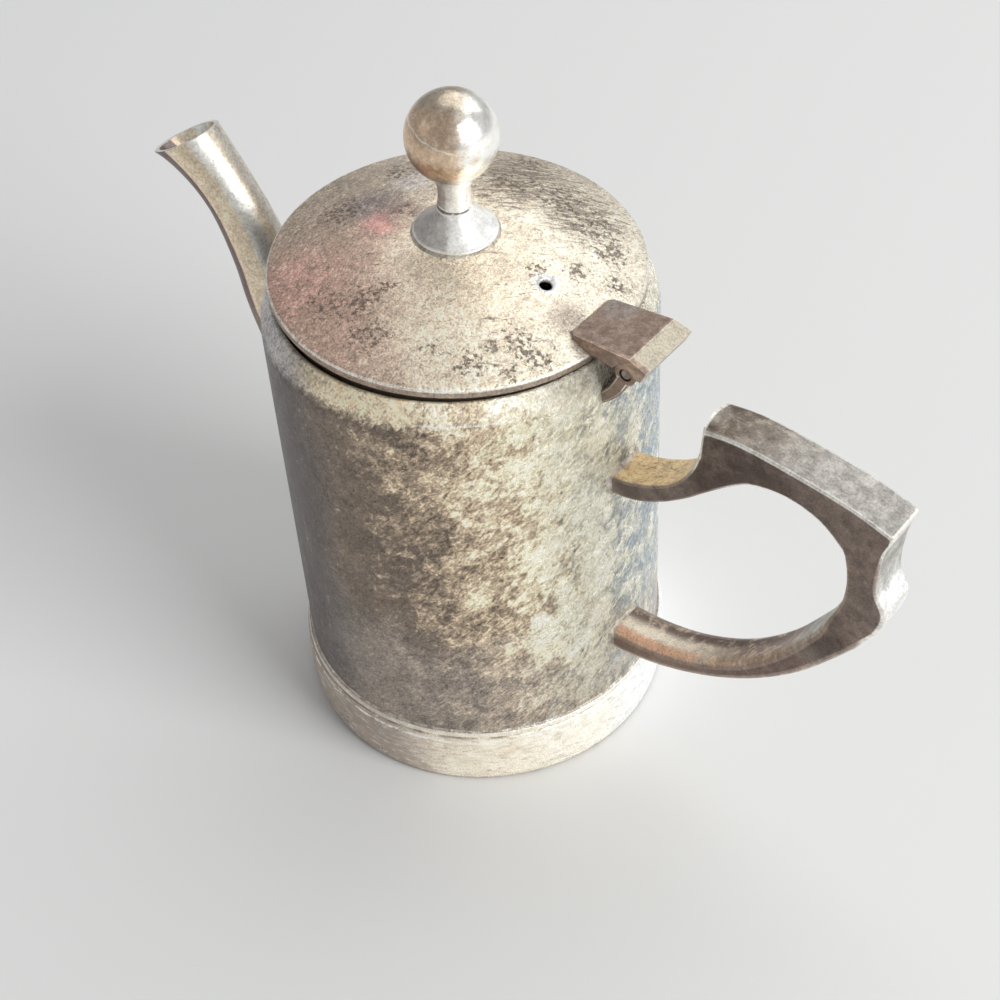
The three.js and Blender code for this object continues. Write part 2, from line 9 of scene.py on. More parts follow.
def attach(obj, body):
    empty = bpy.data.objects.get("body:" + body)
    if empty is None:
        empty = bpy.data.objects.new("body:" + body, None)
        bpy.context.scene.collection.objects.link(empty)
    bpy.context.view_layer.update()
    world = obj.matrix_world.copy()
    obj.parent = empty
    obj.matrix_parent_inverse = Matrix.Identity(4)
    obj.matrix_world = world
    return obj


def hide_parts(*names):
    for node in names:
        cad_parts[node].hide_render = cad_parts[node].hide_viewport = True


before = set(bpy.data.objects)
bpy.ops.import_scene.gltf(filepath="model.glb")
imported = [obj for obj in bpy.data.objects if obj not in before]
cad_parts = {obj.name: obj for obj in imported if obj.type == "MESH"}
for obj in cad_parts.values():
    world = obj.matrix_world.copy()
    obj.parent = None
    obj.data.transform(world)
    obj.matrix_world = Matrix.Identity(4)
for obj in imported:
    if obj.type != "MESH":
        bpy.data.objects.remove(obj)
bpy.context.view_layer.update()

MM = 0.001
OUT = (1, 0, 0)
SIDE = (0, 1, 0)
UP = (0, 0, 1)

# How finely the meshes are made, and the tiny flat that closes a turned piece on its axis
CURVE_STEPS = 40
BODY_SEGMENTS = 192
TUBE_SEGMENTS = 72
KNOB_SEGMENTS = 96
AXIS_CAP = 0.02

# Body and foot
BODY_RADIUS = 35.0
BODY_SPREAD = 0.2
BODY_WALL = 1.0
RIM_RADIUS = 32.7
RIM_HEIGHT = 95.6
RIM_ROUNDING = 0.4
SHOULDER_HEIGHT = 6.3
SHELL_BOTTOM = 2.05
FOOT_INNER = 35.45
FOOT_WIDEST = 36.3
FOOT_DRAW_IN = 0.6
FOOT_HEIGHT = 13.8
FOOT_GROOVE_Z = 12.7
FOOT_GROOVE_WIDTH = 0.3
FOOT_GROOVE_DEPTH = 0.16
FOOT_LEDGE = (33.05, 0.7)
BASE_UNDERSIDE = 0.8
BASE_THICKNESS = 1.0
BASE_JOGGLE = 0.15

# Spout. Its root is the first share of its line, and the sinks are shares of the body's wall.
SPOUT_LINE = [
    (-28, 51.2), (-37.5, 55.2), (-43.3, 61.5), (-47.3, 70), (-49.9, 79),
    (-53.4, 87), (-58, 93.6), (-64.7, 99.7), (-68.8, 102.2),
]
SPOUT_ROOT_RADIUS = 7.2
SPOUT_WAIST_RADIUS = 5.15
SPOUT_MOUTH_RADIUS = 7.1
SPOUT_WAIST_AT = 0.72
SPOUT_FLARE = 2.2
SPOUT_WALL = 0.9
SPOUT_MOUTH = Vector((-66.0, 0, 99.5))
SPOUT_MOUTH_TILT = 0.5
SPOUT_MOUTH_NORMAL = Vector((-math.sin(SPOUT_MOUTH_TILT), 0, math.cos(SPOUT_MOUTH_TILT)))
SPOUT_LIP = 0.14
SPOUT_ROOT_SHARE = 0.4
SPOUT_FACING_AT = 0.6
SPOUT_SINK = 0.45
SPOUT_BORE_SINK = 0.95

# Handle: smooth lines of its outer and inner faces, stretch by stretch, with the steps along it,
# the rounding of its edges at its start and end, and how it is crowned along its length
HANDLE_FOOT = Vector((35, 0, 28))
HANDLE_HALF_WIDTH = 4.2
HANDLE_CROWN = 1.1
HANDLE_ROOT_SHARE = 0.3
HANDLE_SINK = 0.5
HANDLE_STRETCHES = [
    (
        [(-3, 42.4), (3, 43), (8.3, 45), (12.4, 47.6), (14.9, 50.5), (16.8, 53.9), (18, 57.5)],
        [(-3, 38.2), (5, 39.5), (10.8, 42.4), (15.6, 46), (18.6, 48.8), (21, 51), (22.6, 52.4)],
        24, 0.6, 0.5, lambda t: t ** 4,
    ),
    (
        [(18.5, 63), (25.5, 63.8), (36, 62.9), (46, 61.4), (53.4, 59.2)],
        [(23.8, 53.4), (28, 56.2), (34.5, 57.2), (40.5, 55.6), (45, 51.9)],
        30, 0.5, 0.5, lambda t: (1 - t) ** 3,
    ),
    (
        [(53.45, 58.3), (52.2, 54.2), (51.8, 46.5), (53.9, 41.4), (52.9, 36.6)],
        [(45.6, 50.8), (46.2, 47.8), (46.4, 44.3), (46, 40.2), (44.6, 36.3)],
        26, 0.5, 0.8, lambda t: 0,
    ),
    (
        [(49, 29.6), (40.1, 17.8), (30.3, 8.7), (19.7, 2.2), (8.4, -2), (-3, -3.4)],
        [(41.9, 29.9), (34.8, 19.4), (26.2, 11), (16.4, 5.6), (7, 3.3), (-3, 3)],
        40, 1.5, 2.2, lambda t: 0,
    ),
]

# Lid, as it lies when shut, and the pin that it turns on
LID_RADIUS = 32.8
LID_SEAT = 95.9
LID_EDGE_HEIGHT = 1.6
LID_SHEET = 0.9
DOME_FOOT = LID_SEAT + LID_EDGE_HEIGHT
DOME_RISE = 7.1
VENT_X = 19.2
VENT_RADIUS = 1.1
VENT_DIMPLE_RADIUS = 1.9
BEZEL_OUTER = 31.2
BEZEL_WALL = 0.9
BEZEL_BOTTOM = 92.3
PIN = Vector((39.4, 0, 96.9))
PIN_RADIUS = 0.95
PIN_HALF_LENGTH = 5.6
LID_AJAR = math.radians(2.2)

# Knob
KNOB_BASE_RADIUS = 7.35
KNOB_BASE_TOP = 109.7
KNOB_BASE_LIFT = 0.25
KNOB_BASE_FLARE = 1.4
NECK_RADIUS = 2.95
NECK_WAIST_RADIUS = 2.75
NECK_WAIST_AT = 0.4
NECK_TOP_RADIUS = 3.65
BALL_RADIUS = 7.84
BALL_Z = 123.35
STUD_RADIUS = 1.6

# Solder: how far it reaches from a joint, how full its hollow is and how deep it sits in the wall
SPOUT_SOLDER = 1.1
HANDLE_SOLDER = 0.75
SOLDER_BULGE = 0.22
SOLDER_SINK = 0.3

# Cast pieces: rounding of their edges, the rim of faces over so many square millimetres,
# and the bend in degrees at which edges and corners count in full, for the painted edge highlights and the
# darker corners
BRACKET_ROUNDING = 0.28
LEAF_ROUNDING = 0.32
WELD_DISTANCE = 0.003
FLAT_ANGLE = math.radians(1)
ROUNDED_ANGLE = math.radians(28)
LARGE_FACE = 3
LARGE_FACE_RIM = 0.22
HINGE_FULL_BEND = 40
HANDLE_FULL_BEND = 24
SHARP_ANGLE = math.radians(38)

# The photograph's view
CAMERA_PLACE = Vector((170.11, -188.32, 293.18))
CAMERA_AZIMUTH = math.radians(41.06)
CAMERA_ELEVATION = math.radians(44.86)
CAMERA_ROLL = math.radians(-3.91)
CAMERA_LENS = 66.54
VIEW_RIGHT = (math.cos(CAMERA_AZIMUTH), math.sin(CAMERA_AZIMUTH), 0.0)
VIEW_AWAY = (-math.sin(CAMERA_AZIMUTH), math.cos(CAMERA_AZIMUTH), 0.0)

# Lamps: name, place to the right, away and up, width, depth and brightness
LAMPS = [
    ("overhead_back", 420, 800, 1150, 1600, 1250, 1.2),
    ("key_right", 980, -760, 800, 800, 800, 8.2),
    ("fill_left", -1300, -300, 700, 700, 700, 0.3),
]
LAMP_AIM = Vector((0, 0, 50))
ROOM_COLOUR = (0.97, 0.98, 1.0)
ROOM_BRIGHTNESS = 0.36
FLOOR_REACH = 4000
FLOOR_DROP = 0.2


# Lines and sections

def steps(start, stop, count):
    return [start + (stop - start) * i / count for i in range(count + 1)]


def turns(count):
    return [2 * math.pi * j / count for j in range(count)]


def hermite(b, c, start, end, s):
    """The place at s, from 0 to 1, on the way from b to c, with the speeds that it has at its ends."""
    return ((2 * b - 2 * c + start + end) * s + (3 * c - 3 * b - 2 * start - end)) * s * s + start * s + b


def last_inside(inside, low, high):
    """The last value between low and high for which the test holds."""
    for _ in range(40):
        middle = (low + high) / 2
        if inside(middle):
            low = middle
        else:
            high = middle
    return low


def spline_point(points, t):
    """A point at t, from 0 to 1, of the smooth curve through evenly counted points."""
    place = t * (len(points) - 1)
    index = min(int(place), len(points) - 2)
    near = [points[min(max(index + k, 0), len(points) - 1)] for k in (-1, 0, 1, 2)]
    return [hermite(b, c, (c - a) / 2, (d - b) / 2, place - index) for a, b, c, d in zip(*near)]


def even_curve(points, count):
    """Evenly spaced places along the curve through points, whose pace follows their distances."""
    whole = [2 * points[0] - points[1], *points, 2 * points[-1] - points[-2]]
    dense = []
    for a, b, c, d in zip(whole, whole[1:], whole[2:], whole[3:]):
        pace = [math.sqrt((q - p).length) for p, q in ((a, b), (b, c), (c, d))]
        start = ((b - a) / pace[0] - (c - a) / (pace[0] + pace[1]) + (c - b) / pace[1]) * pace[1]
        end = ((c - b) / pace[1] - (d - b) / (pace[1] + pace[2]) + (d - c) / pace[2]) * pace[1]
        dense += [hermite(b, c, start, end, s) for s in steps(0, 1, CURVE_STEPS)[:-1]]
    dense.append(points[-1].copy())
    lengths = [0.0]
    for a, b in zip(dense, dense[1:]):
        lengths.append(lengths[-1] + (b - a).length)
    out, index = [], 0
    for wanted in steps(0, lengths[-1], count):
        while index < len(dense) - 2 and lengths[index + 1] < wanted:
            index += 1
        span = lengths[index + 1] - lengths[index]
        out.append(dense[index].lerp(dense[index + 1], (wanted - lengths[index]) / span))
    return out


def arc(centre, radius, start, stop, count):
    """Points of a circle's arc in a profile; angles in degrees from outward, turning up."""
    return [
        (centre[0] + radius * math.cos(math.radians(a)), centre[1] + radius * math.sin(math.radians(a)))
        for a in steps(start, stop, count)
    ]


def body_radius(z):
    """The body's outer radius at a height: a faint taper, then the shoulder."""
    shoulder_z = RIM_HEIGHT - SHOULDER_HEIGHT
    spread = BODY_SPREAD * (1 - min(z, shoulder_z) / shoulder_z)
    shoulder = max(0.0, z - shoulder_z) / SHOULDER_HEIGHT
    return BODY_RADIUS + spread - (BODY_RADIUS - RIM_RADIUS) * shoulder ** 2


def foot_radius(z):
    """The band's outer radius at a height: it curves in to its two edges."""
    return FOOT_WIDEST - FOOT_DRAW_IN * (2 * z / (FOOT_HEIGHT - 0.2) - 1) ** 4


def neck_radius(s):
    """The knob's neck from its foot, at 0, to the ball, at 1."""
    below = max(0.0, 1 - s / NECK_WAIST_AT) ** 2
    above = max(0.0, (s - NECK_WAIST_AT) / (1 - NECK_WAIST_AT)) ** 2
    swell = (NECK_RADIUS - NECK_WAIST_RADIUS) * below + (NECK_TOP_RADIUS - NECK_WAIST_RADIUS) * above
    return NECK_WAIST_RADIUS + swell


def body_spot(right_mm, height):
    """A point on the body's near side, by its height and how far right it is in the photograph."""
    radius = body_radius(height)
    nearer = math.sqrt(radius ** 2 - right_mm ** 2)
    return [right_mm * a - nearer * b for a, b in zip(VIEW_RIGHT[:2], VIEW_AWAY[:2])] + [height]


def dome_height(r):
    return DOME_FOOT + DOME_RISE * (1 - (r / LID_RADIUS) ** 2)


def place_on_body(point):
    """The point moved in or out onto the body's skin."""
    outward = Vector((point.x, point.y, 0)).normalized()
    return outward * body_radius(point.z) + Vector((0, 0, point.z))


def crossing(path, depth=0.0):
    """Where a path that starts inside the body comes out through its skin, less a depth: (t, point)."""
    def inside(t):
        point = path(t)
        return math.hypot(point.x, point.y) < body_radius(point.z) - depth
    t = last_inside(inside, 0.0, 1.0)
    return t, path(t)


# Meshes

def skin(name, rows, closed=True):
    """A mesh through rows of points, each a ring. The last row meets the first, or both ends get a cap."""
    mesh = bpy.data.meshes.new(name)
    size = len(rows[0])
    points = [Vector(p) * MM for row in rows for p in row]
    faces = []
    for i in range(len(rows) if closed else len(rows) - 1):
        after = (i + 1) % len(rows)
        for j in range(size):
            k = (j + 1) % size
            faces.append((i * size + j, i * size + k, after * size + k, after * size + j))
    if not closed:
        faces.append(tuple(range(size - 1, -1, -1)))
        faces.append(tuple((len(rows) - 1) * size + j for j in range(size)))
    mesh.from_pydata(points, [], faces)
    return face_outward(mesh)


def face_outward(mesh):
    work = bmesh.new()
    work.from_mesh(mesh)
    bmesh.ops.recalc_face_normals(work, faces=work.faces)
    work.to_mesh(mesh)
    work.free()
    return mesh


def turned(name, profile, segments=BODY_SEGMENTS, closed=True):
    """A turned piece about the upright axis, from (radius, height) points in millimetres."""
    rows = [[(r * math.cos(a), r * math.sin(a), z) for a in turns(segments)] for r, z in profile]
    return skin(name, rows, closed)


def cut_away(mesh, tool):
    """The mesh less the tool, as a new mesh."""
    whole = bpy.data.objects.new("whole", mesh)
    helper = bpy.data.objects.new("tool", tool)
    for made in (whole, helper):
        bpy.context.scene.collection.objects.link(made)
    cut = whole.modifiers.new("cut", "BOOLEAN")
    cut.operation = "DIFFERENCE"
    cut.solver = "EXACT"
    cut.object = helper
    shown = whole.evaluated_get(bpy.context.evaluated_depsgraph_get())
    result = bpy.data.meshes.new_from_object(shown)
    for made in (whole, helper):
        bpy.data.objects.remove(made)
    return result


def softened(mesh, width):
    """A copy of the mesh: flat faces joined, edges rounded over a width in mm, large faces given a rim."""
    work = bmesh.new()
    work.from_mesh(mesh)
    bmesh.ops.remove_doubles(work, verts=work.verts, dist=WELD_DISTANCE * MM)
    bmesh.ops.dissolve_limit(work, angle_limit=FLAT_ANGLE, verts=work.verts, edges=work.edges)
    sharp = [edge for edge in work.edges if edge.is_manifold and edge.calc_face_angle() > ROUNDED_ANGLE]
    bmesh.ops.bevel(
        work, geom=sharp, offset=width * MM, offset_type="OFFSET", segments=3,
        profile=0.5, affect="EDGES", clamp_overlap=True,
    )
    bmesh.ops.recalc_face_normals(work, faces=work.faces)
    large = [face for face in work.faces if face.calc_area() > LARGE_FACE * MM * MM]
    bmesh.ops.inset_individual(work, faces=large, thickness=LARGE_FACE_RIM * MM, use_even_offset=True)
    result = bpy.data.meshes.new(mesh.name + "_softened")
    work.to_mesh(result)
    work.free()
    return result


def store(mesh, name, values):
    """Keeps one number for each point of the mesh, for its finish to read."""
    mesh.attributes.new(name, "FLOAT", "POINT").data.foreach_set("value", values)


def mark_edges_and_corners(mesh, full_bend):
    """Stores how near each point is to an outer edge and to an inner corner, as "edge" and "corner".

    Both go from 0 on a flat face to 1 where the faces bend by full_bend degrees.
    """
    work = bmesh.new()
    work.from_mesh(mesh)
    work.normal_update()
    edges, corners = [], []
    for vert in work.verts:
        outer = inner = 0.0
        for edge in vert.link_edges:
            if edge.is_manifold:
                bend = min(edge.calc_face_angle() / math.radians(full_bend), 1.0)
                if edge.is_convex:
                    outer = max(outer, bend)
                else:
                    inner = max(inner, bend)
        edges.append(outer)
        corners.append(inner)
    work.free()
    store(mesh, "edge", edges)
    store(mesh, "corner", corners)
    return mesh


def add_piece(name, mesh, finish, body, nodes=(), ajar=False):
    """Puts a mesh on its body, in place of the named nodes. An ajar one is made with the lid shut."""
    mesh.name = name
    if ajar:
        pin = Matrix.Translation(PIN * MM)
        mesh.transform(pin @ Matrix.Rotation(LID_AJAR, 4, "Y") @ pin.inverted())
    mesh.materials.clear()
    mesh.materials.append(finish)
    for face in mesh.polygons:
        face.use_smooth = True
    mesh.set_sharp_from_angle(angle=SHARP_ANGLE)
    piece = bpy.data.objects.new(name, mesh)
    bpy.context.scene.collection.objects.link(piece)
    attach(piece, body)
    if nodes:
        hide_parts(*nodes)


# Shader values

class Value:
    """A socket of a finish, with the arithmetic that adds its Math nodes."""

    def __init__(self, finish, socket):
        self.finish = finish
        self.socket = socket

    def math(self, operation, *values):
        return self.finish.node("Math", dict(enumerate(values)), {"operation": operation})

    def __add__(self, other):
        return self.math("ADD", self, other)

    __radd__ = __add__

    def __sub__(self, other):
        return self.math("SUBTRACT", self, other)

    def __rsub__(self, other):
        return self.math("SUBTRACT", other, self)

    def __mul__(self, other):
        return self.math("MULTIPLY", self, other)

    __rmul__ = __mul__

    def larger(self, other):
        return self.math("MAXIMUM", self, other)

    def size(self):
        return self.math("ABSOLUTE", self)

    def rise(self, low, high):
        """0 below low and 1 above high, with a soft step between; high may be the lower of the two."""
        return self.finish.node("MapRange", {0: self, 1: low, 2: high}, {"interpolation_type": "SMOOTHSTEP"})


class Finish:
    """A metal finish. Places are in metres, in the frame's axes, with the lid shut for an ajar piece."""

    def __init__(self, name, ajar=False):
        self.material = bpy.data.materials.new(name)
        self.material.use_nodes = True
        self.tree = self.material.node_tree
        self.tree.nodes.clear()
        self.place = self.node("TexCoord", output="Object")
        if ajar:
            pin = PIN * MM
            turn = (0.0, LID_AJAR, 0.0)
            moved = pin - Matrix.Rotation(LID_AJAR, 3, "Y") @ pin
            inputs = {"Vector": self.place, "Location": moved, "Rotation": turn}
            self.place = self.node("Mapping", inputs, {"vector_type": "TEXTURE"})

    def node(self, kind, inputs=None, settings=None, output=0):
        """Adds a node with the values or links of its sockets, and with its settings. Gives one output."""
        made = self.tree.nodes.new("ShaderNode" + kind)
        for key, value in (settings or {}).items():
            setattr(made, key, value)
        for key, value in (inputs or {}).items():
            if isinstance(value, Value):
                self.tree.links.new(value.socket, made.inputs[key])
            else:
                made.inputs[key].default_value = value
        return Value(self, made.outputs[output]) if made.outputs else None

    def along(self, *directions):
        """How far a place lies along each direction, in millimetres."""
        out = []
        for direction in directions:
            inputs = {0: self.place, 1: [part / MM for part in direction]}
            out.append(self.node("VectorMath", inputs, {"operation": "DOT_PRODUCT"}, "Value"))
        return out

    def noise(self, size, shift=0.0, turn=(0, 0, 0), detail=3.0, rough=0.5, warp=0.0):
        """Cloudy noise from 0 to 1. Size is its grain in millimetres along X, Y and Z, before the turn."""
        sizes = [part * MM for part in (size if isinstance(size, tuple) else (size, size, size))]
        inputs = {"Vector": self.place, "Location": [shift * MM] * 3, "Rotation": turn, "Scale": sizes}
        grain = self.node("Mapping", inputs, {"vector_type": "TEXTURE"})
        inputs = {"Vector": grain, "Scale": 1.0, "Detail": detail, "Roughness": rough, "Distortion": warp}
        return self.node("TexNoise", inputs)

    def near(self, centre, radius, soft=0.6):
        """1 at a place given in millimetres, falling to 0 at the radius."""
        inputs = {0: self.place, 1: [part * MM for part in centre]}
        distance = self.node("VectorMath", inputs, {"operation": "DISTANCE"}, "Value")
        return distance.rise(radius * MM, radius * MM * (1 - soft))

    def attribute(self, name):
        return self.node("Attribute", None, {"attribute_name": name}, "Fac")

    def mix(self, factor, a, b):
        """The colour a, going to b as the factor goes from 0 to 1."""
        full = [(*c, 1.0) if isinstance(c, tuple) else c for c in (a, b)]
        return self.node("Mix", {0: factor, 6: full[0], 7: full[1]}, {"data_type": "RGBA"}, 2)

    def tone(self, colour, level, *grains):
        """The colour times a level, made darker and lighter by (noise, share) grains."""
        for noise, share in grains:
            level = level + (noise - 0.5) * share
        settings = {"data_type": "RGBA", "blend_type": "MULTIPLY"}
        return self.node("Mix", {0: 1.0, 6: colour, 7: level}, settings, 2)

    def coats(self, base, *layers):
        """The base colour with (mask, colour) layers over it."""
        colour = base
        for mask, paint in layers:
            colour = self.mix(mask, colour, paint)
        return colour

    def metal(self, colour, roughness, height, depth, metallic=1.0):
        """Ends the finish: a metal surface with a bump whose full height is depth, in millimetres."""
        normal = self.node("Bump", {"Strength": 1.0, "Distance": depth * MM, "Height": height})
        inputs = {"Base Color": colour, "Metallic": metallic, "Roughness": roughness, "Normal": normal}
        self.node("OutputMaterial", {"Surface": self.node("BsdfPrincipled", inputs)})
        return self.material


# Finishes. Their colours are reflected shares of light; some of them paint highlights, reflections and shade
# onto the metal.

def body_finish():
    """Painted shade on the left, in dark grey-brown; tan in front; painted light on the right, in cream
    highlights and blue-grey painted reflections; all mixed with random mottling.
    """
    f = Finish("worn_body_painted_light")
    right, up = f.along(VIEW_RIGHT, UP)
    slant = (0, -0.8, CAMERA_AZIMUTH)
    cloud = f.noise(12, detail=4, rough=0.55)
    patch = f.noise(5.5, shift=40, detail=10, rough=0.72, warp=0.3)
    flake = f.noise((1.7, 1.1, 0.8), shift=23, turn=slant, detail=8, rough=0.75, warp=0.6)
    grain = f.noise(0.42, shift=11, detail=3, rough=0.6)
    streak = f.noise((1.2, 1.2, 18), shift=7, detail=5, rough=0.6)
    crinkle = f.noise((6.5, 2.4, 2.0), shift=3, turn=slant, detail=8, rough=0.66, warp=0.8)

    mottle = patch * 0.9 + flake * 0.75 + cloud * 0.35
    # Random mottle plus a painted light gradient that rises to the right and a little upwards: brown and tan
    # are its painted shade, cream and glare its painted highlights
    light = mottle + right * 0.0125 + up * 0.0012
    brown = light.rise(0.9, 1.00)
    tan = light.rise(1.01, 1.09)
    cream = light.rise(1.11, 1.18)
    glare = (light + right * 0.004).rise(1.24, 1.33)
    # blue: where blue-grey painted reflections go, on the right
    blue = (right * 0.013 + streak * 0.35 - patch * 0.9 - flake * 0.5).rise(-0.24, -0.13)
    low = (up - cloud * 16 + right * 0.2).rise(36, 20)
    # shoulder: the band under the rim, painted lighter as a painted reflection, with painted highlights
    # brighter to the right
    shoulder = (up + flake * 4 - right * 0.02).rise(92.4, 95.4)
    worn = patch * 0.6 + flake * 0.5
    gold = (up + flake * 5 + patch * 4).rise(95.4, 97.4) * right.rise(-5, -13)
    # ridge_highlight: a painted highlight line round the body below the rim
    ridge_highlight = (up - 92.3 + cloud * 0.4).size().rise(0.24, 0.1) * right.rise(-10, -6) * right.rise(8, 3)
    # pearl_highlights: two soft painted highlight spots
    pearl_highlights = f.near(body_spot(17.3, 31), 3.0, 0.4).larger(f.near(body_spot(10.3, 42.8), 2.8, 0.5))
    # lit_right_side: the lit right side, where the crinkles get painted highlights and painted shade in the
    # colour, and a stronger bump
    lit_right_side = right.rise(6, 20)

    # The dark base is painted shade on the left; the brown, tan, cream and glare bands over it are painted
    # light towards the right
    colour = f.coats(
        (0.205, 0.16, 0.125),
        (cloud.rise(0.42, 0.6) * 0.6, (0.3, 0.23, 0.17)),
        (brown * 0.85, (0.44, 0.345, 0.25)),
        (tan * 0.9, (0.72, 0.57, 0.405)),
        (cream * 0.95, (1.0, 0.91, 0.66)),
        (glare * 0.9, (1.0, 0.96, 0.75)),
        # Blue-grey painted reflections on the right, bluer along the far right edge
        (blue * right.rise(3, 14) * 0.75, (0.4, 0.44, 0.47)),
        (right.rise(23, 30) * (patch * 0.8 + flake * 0.4).rise(0.66, 0.52), (0.47, 0.575, 0.66)),
        # Painted highlights on the crinkles, then their painted shade
        (lit_right_side * crinkle.rise(0.53, 0.6) * 0.85, (1.0, 0.97, 0.8)),
        (lit_right_side * crinkle.rise(0.45, 0.39) * 0.5, (0.5, 0.49, 0.43)),
        (low * 0.6, (0.46, 0.405, 0.36)),
        (low * right.rise(-12, 14) * cloud.rise(0.5, 0.62) * 0.6, (0.62, 0.63, 0.64)),
        # Painted highlight spots
        (pearl_highlights * patch.rise(0.38, 0.48), (1.0, 0.96, 0.8)),
        # The shoulder's painted reflection, mottled lighter and darker, with a painted highlight to the right
        (shoulder * 0.8, (0.84, 0.69, 0.51)),
        (shoulder * worn.rise(0.5, 0.62) * 0.9, (1.0, 0.9, 0.68)),
        (shoulder * worn.rise(0.5, 0.42) * 0.6, (0.5, 0.39, 0.28)),
        (shoulder * (right * 0.02 + patch).rise(0.56, 0.7), (1.0, 0.93, 0.76)),
        (gold * 0.85, (1.0, 0.84, 0.6)),
        (gold * patch.rise(0.54, 0.6) * 0.8, (0.86, 0.56, 0.34)),
        # Painted shade along the far left edge, with lighter streaks in it
        (right.rise(-22, -31) * 0.85, (0.125, 0.108, 0.108)),
        (right.rise(-28, -33) * streak.rise(0.54, 0.68) * 0.4, (0.34, 0.32, 0.34)),
        # A pale painted reflection on the shoulder at the far left
        (shoulder * right.rise(-24, -31) * 0.6, (0.78, 0.75, 0.75)),
        # Painted highlight line below the rim
        (ridge_highlight * 0.9, (1.0, 0.96, 0.86)),
        (flake.rise(0.6, 0.66) * right.rise(-4, -16) * 0.5, (0.5, 0.43, 0.36)),
    )
    colour = f.tone(colour, 1.06, (flake, 2.4), (grain, 1.9), (patch, 1.6))
    roughness = 0.34 - 0.08 * cream + 0.12 * low + (flake - 0.5) * 0.4
    height = patch * 0.3 + flake * 0.26 + crinkle * lit_right_side * 1.8 + grain * 0.06 + cloud * 0.3
    return f.metal(colour, roughness, height, 1.0, 0.62)


def foot_finish():
    # Cream band, with painted light on the right, a bluish-white painted highlight at the far right, painted
    # shade on the left and a painted highlight line (glint) below the groove
    f = Finish("worn_foot_painted_light")
    right, up = f.along(VIEW_RIGHT, UP)
    cloud = f.noise(9, shift=3, detail=6, rough=0.62, warp=0.4)
    patch = f.noise(2.6, shift=51, detail=8, rough=0.7)
    grain = f.noise(0.45, shift=17, detail=3, rough=0.6)
    drag = f.noise((2.4, 2.4, 0.7), shift=29, detail=6, rough=0.7, warp=0.4)
    # dark: random darker clouds, more of them to the left as painted shade
    dark = (cloud + patch * 0.5 - right * 0.009).rise(0.82, 0.98)
    groove = (up - FOOT_GROOVE_Z).size().rise(0.36, 0.12) * (patch * 0.6 + cloud * 0.4).rise(0.42, 0.54)
    lip = up.rise(FOOT_GROOVE_Z, FOOT_GROOVE_Z + 0.4)
    glint = (up - FOOT_GROOVE_Z + 0.9 + cloud * 0.6).size().rise(0.4, 0.1) * patch.rise(0.42, 0.54)
    colour = f.coats(
        (1.0, 0.9, 0.74),
        (cloud.rise(0.42, 0.6) * 0.5, (0.84, 0.72, 0.57)),
        # Painted light on the right, a bluish-white painted highlight at the far right, painted shade on the
        # left
        (right.rise(0, 18) * 0.8, (1.0, 0.96, 0.84)),
        (right.rise(20, 31), (0.95, 0.98, 1.0)),
        (right.rise(-6, -22) * 0.9, (0.38, 0.315, 0.275)),
        (dark * 0.5, (0.46, 0.38, 0.31)),
        (drag.rise(0.54, 0.66) * 0.5, (1.0, 0.95, 0.86)),
        (drag.rise(0.44, 0.34) * 0.45, (0.5, 0.42, 0.35)),
        (lip * 0.5, (0.84, 0.78, 0.68)),
        (groove * right.rise(26, 12) * 0.7, (0.2, 0.16, 0.13)),
        # glint: a painted highlight line
        (glint, (1.0, 0.98, 0.93)),
        (up.rise(1.0, 0.2) * 0.6, (0.34, 0.28, 0.23)),
    )
    colour = f.tone(colour, 1.12, (drag, 1.2), (grain, 0.6), (patch, 0.8))
    roughness = 0.26 + 0.16 * dark + (grain - 0.5) * 0.3
    return f.metal(colour, roughness, cloud * 0.7 + drag * 0.25 + grain * 0.03, 0.7, 0.42)


def spout_finish():
    """A long painted cream highlight, tan beside it, and a thin painted peach highlight line before the
    painted shade of the dark outer side.
    """
    f = Finish("worn_spout_painted_light")
    along = f.attribute("along")
    facing = f.attribute("facing")
    cloud = f.noise(6, shift=31, detail=6, rough=0.6, warp=0.3)
    patch = f.noise(1.8, shift=13, detail=7, rough=0.7)
    grain = f.noise(0.45, shift=2, detail=3)
    edge = facing + (cloud - 0.5) * 0.3
    root = (along - cloud * 0.16).rise(0.42, 0.24)
    # peach: a thin painted highlight line near the outer side
    peach = (facing + 0.6 + (cloud - 0.5) * 0.1).size().rise(0.085, 0.03) * along.rise(0.3, 0.4)
    colour = f.coats(
        (0.92, 0.78, 0.58),
        (cloud.rise(0.42, 0.62) * 0.7, (0.76, 0.61, 0.45)),
        (patch.rise(0.52, 0.66) * 0.5, (1.0, 0.9, 0.72)),
        # The painted cream highlight, painted grey shade on the right beyond it, and painted shade on the
        # dark outer side
        ((edge - 0.34).size().rise(0.42, 0.16), (0.99, 0.97, 0.89)),
        (edge.rise(0.62, 0.86) * 0.8, (0.6, 0.57, 0.52)),
        (facing.rise(-0.6, -0.7) * 0.92, (0.17, 0.125, 0.13)),
        (root * 0.8, (0.42, 0.335, 0.265)),
        (peach, (1.0, 0.78, 0.6)),
        # A painted highlight along the mouth's edge
        (along.rise(0.985, 0.995), (0.99, 0.96, 0.9)),
    )
    colour = f.tone(colour, 1.0, (patch, 1.0), (grain, 1.1))
    roughness = 0.28 + 0.16 * cloud + 0.12 * root
    return f.metal(colour, roughness, patch * 0.2 + cloud * 0.5 + grain * 0.05, 0.4, 0.72)


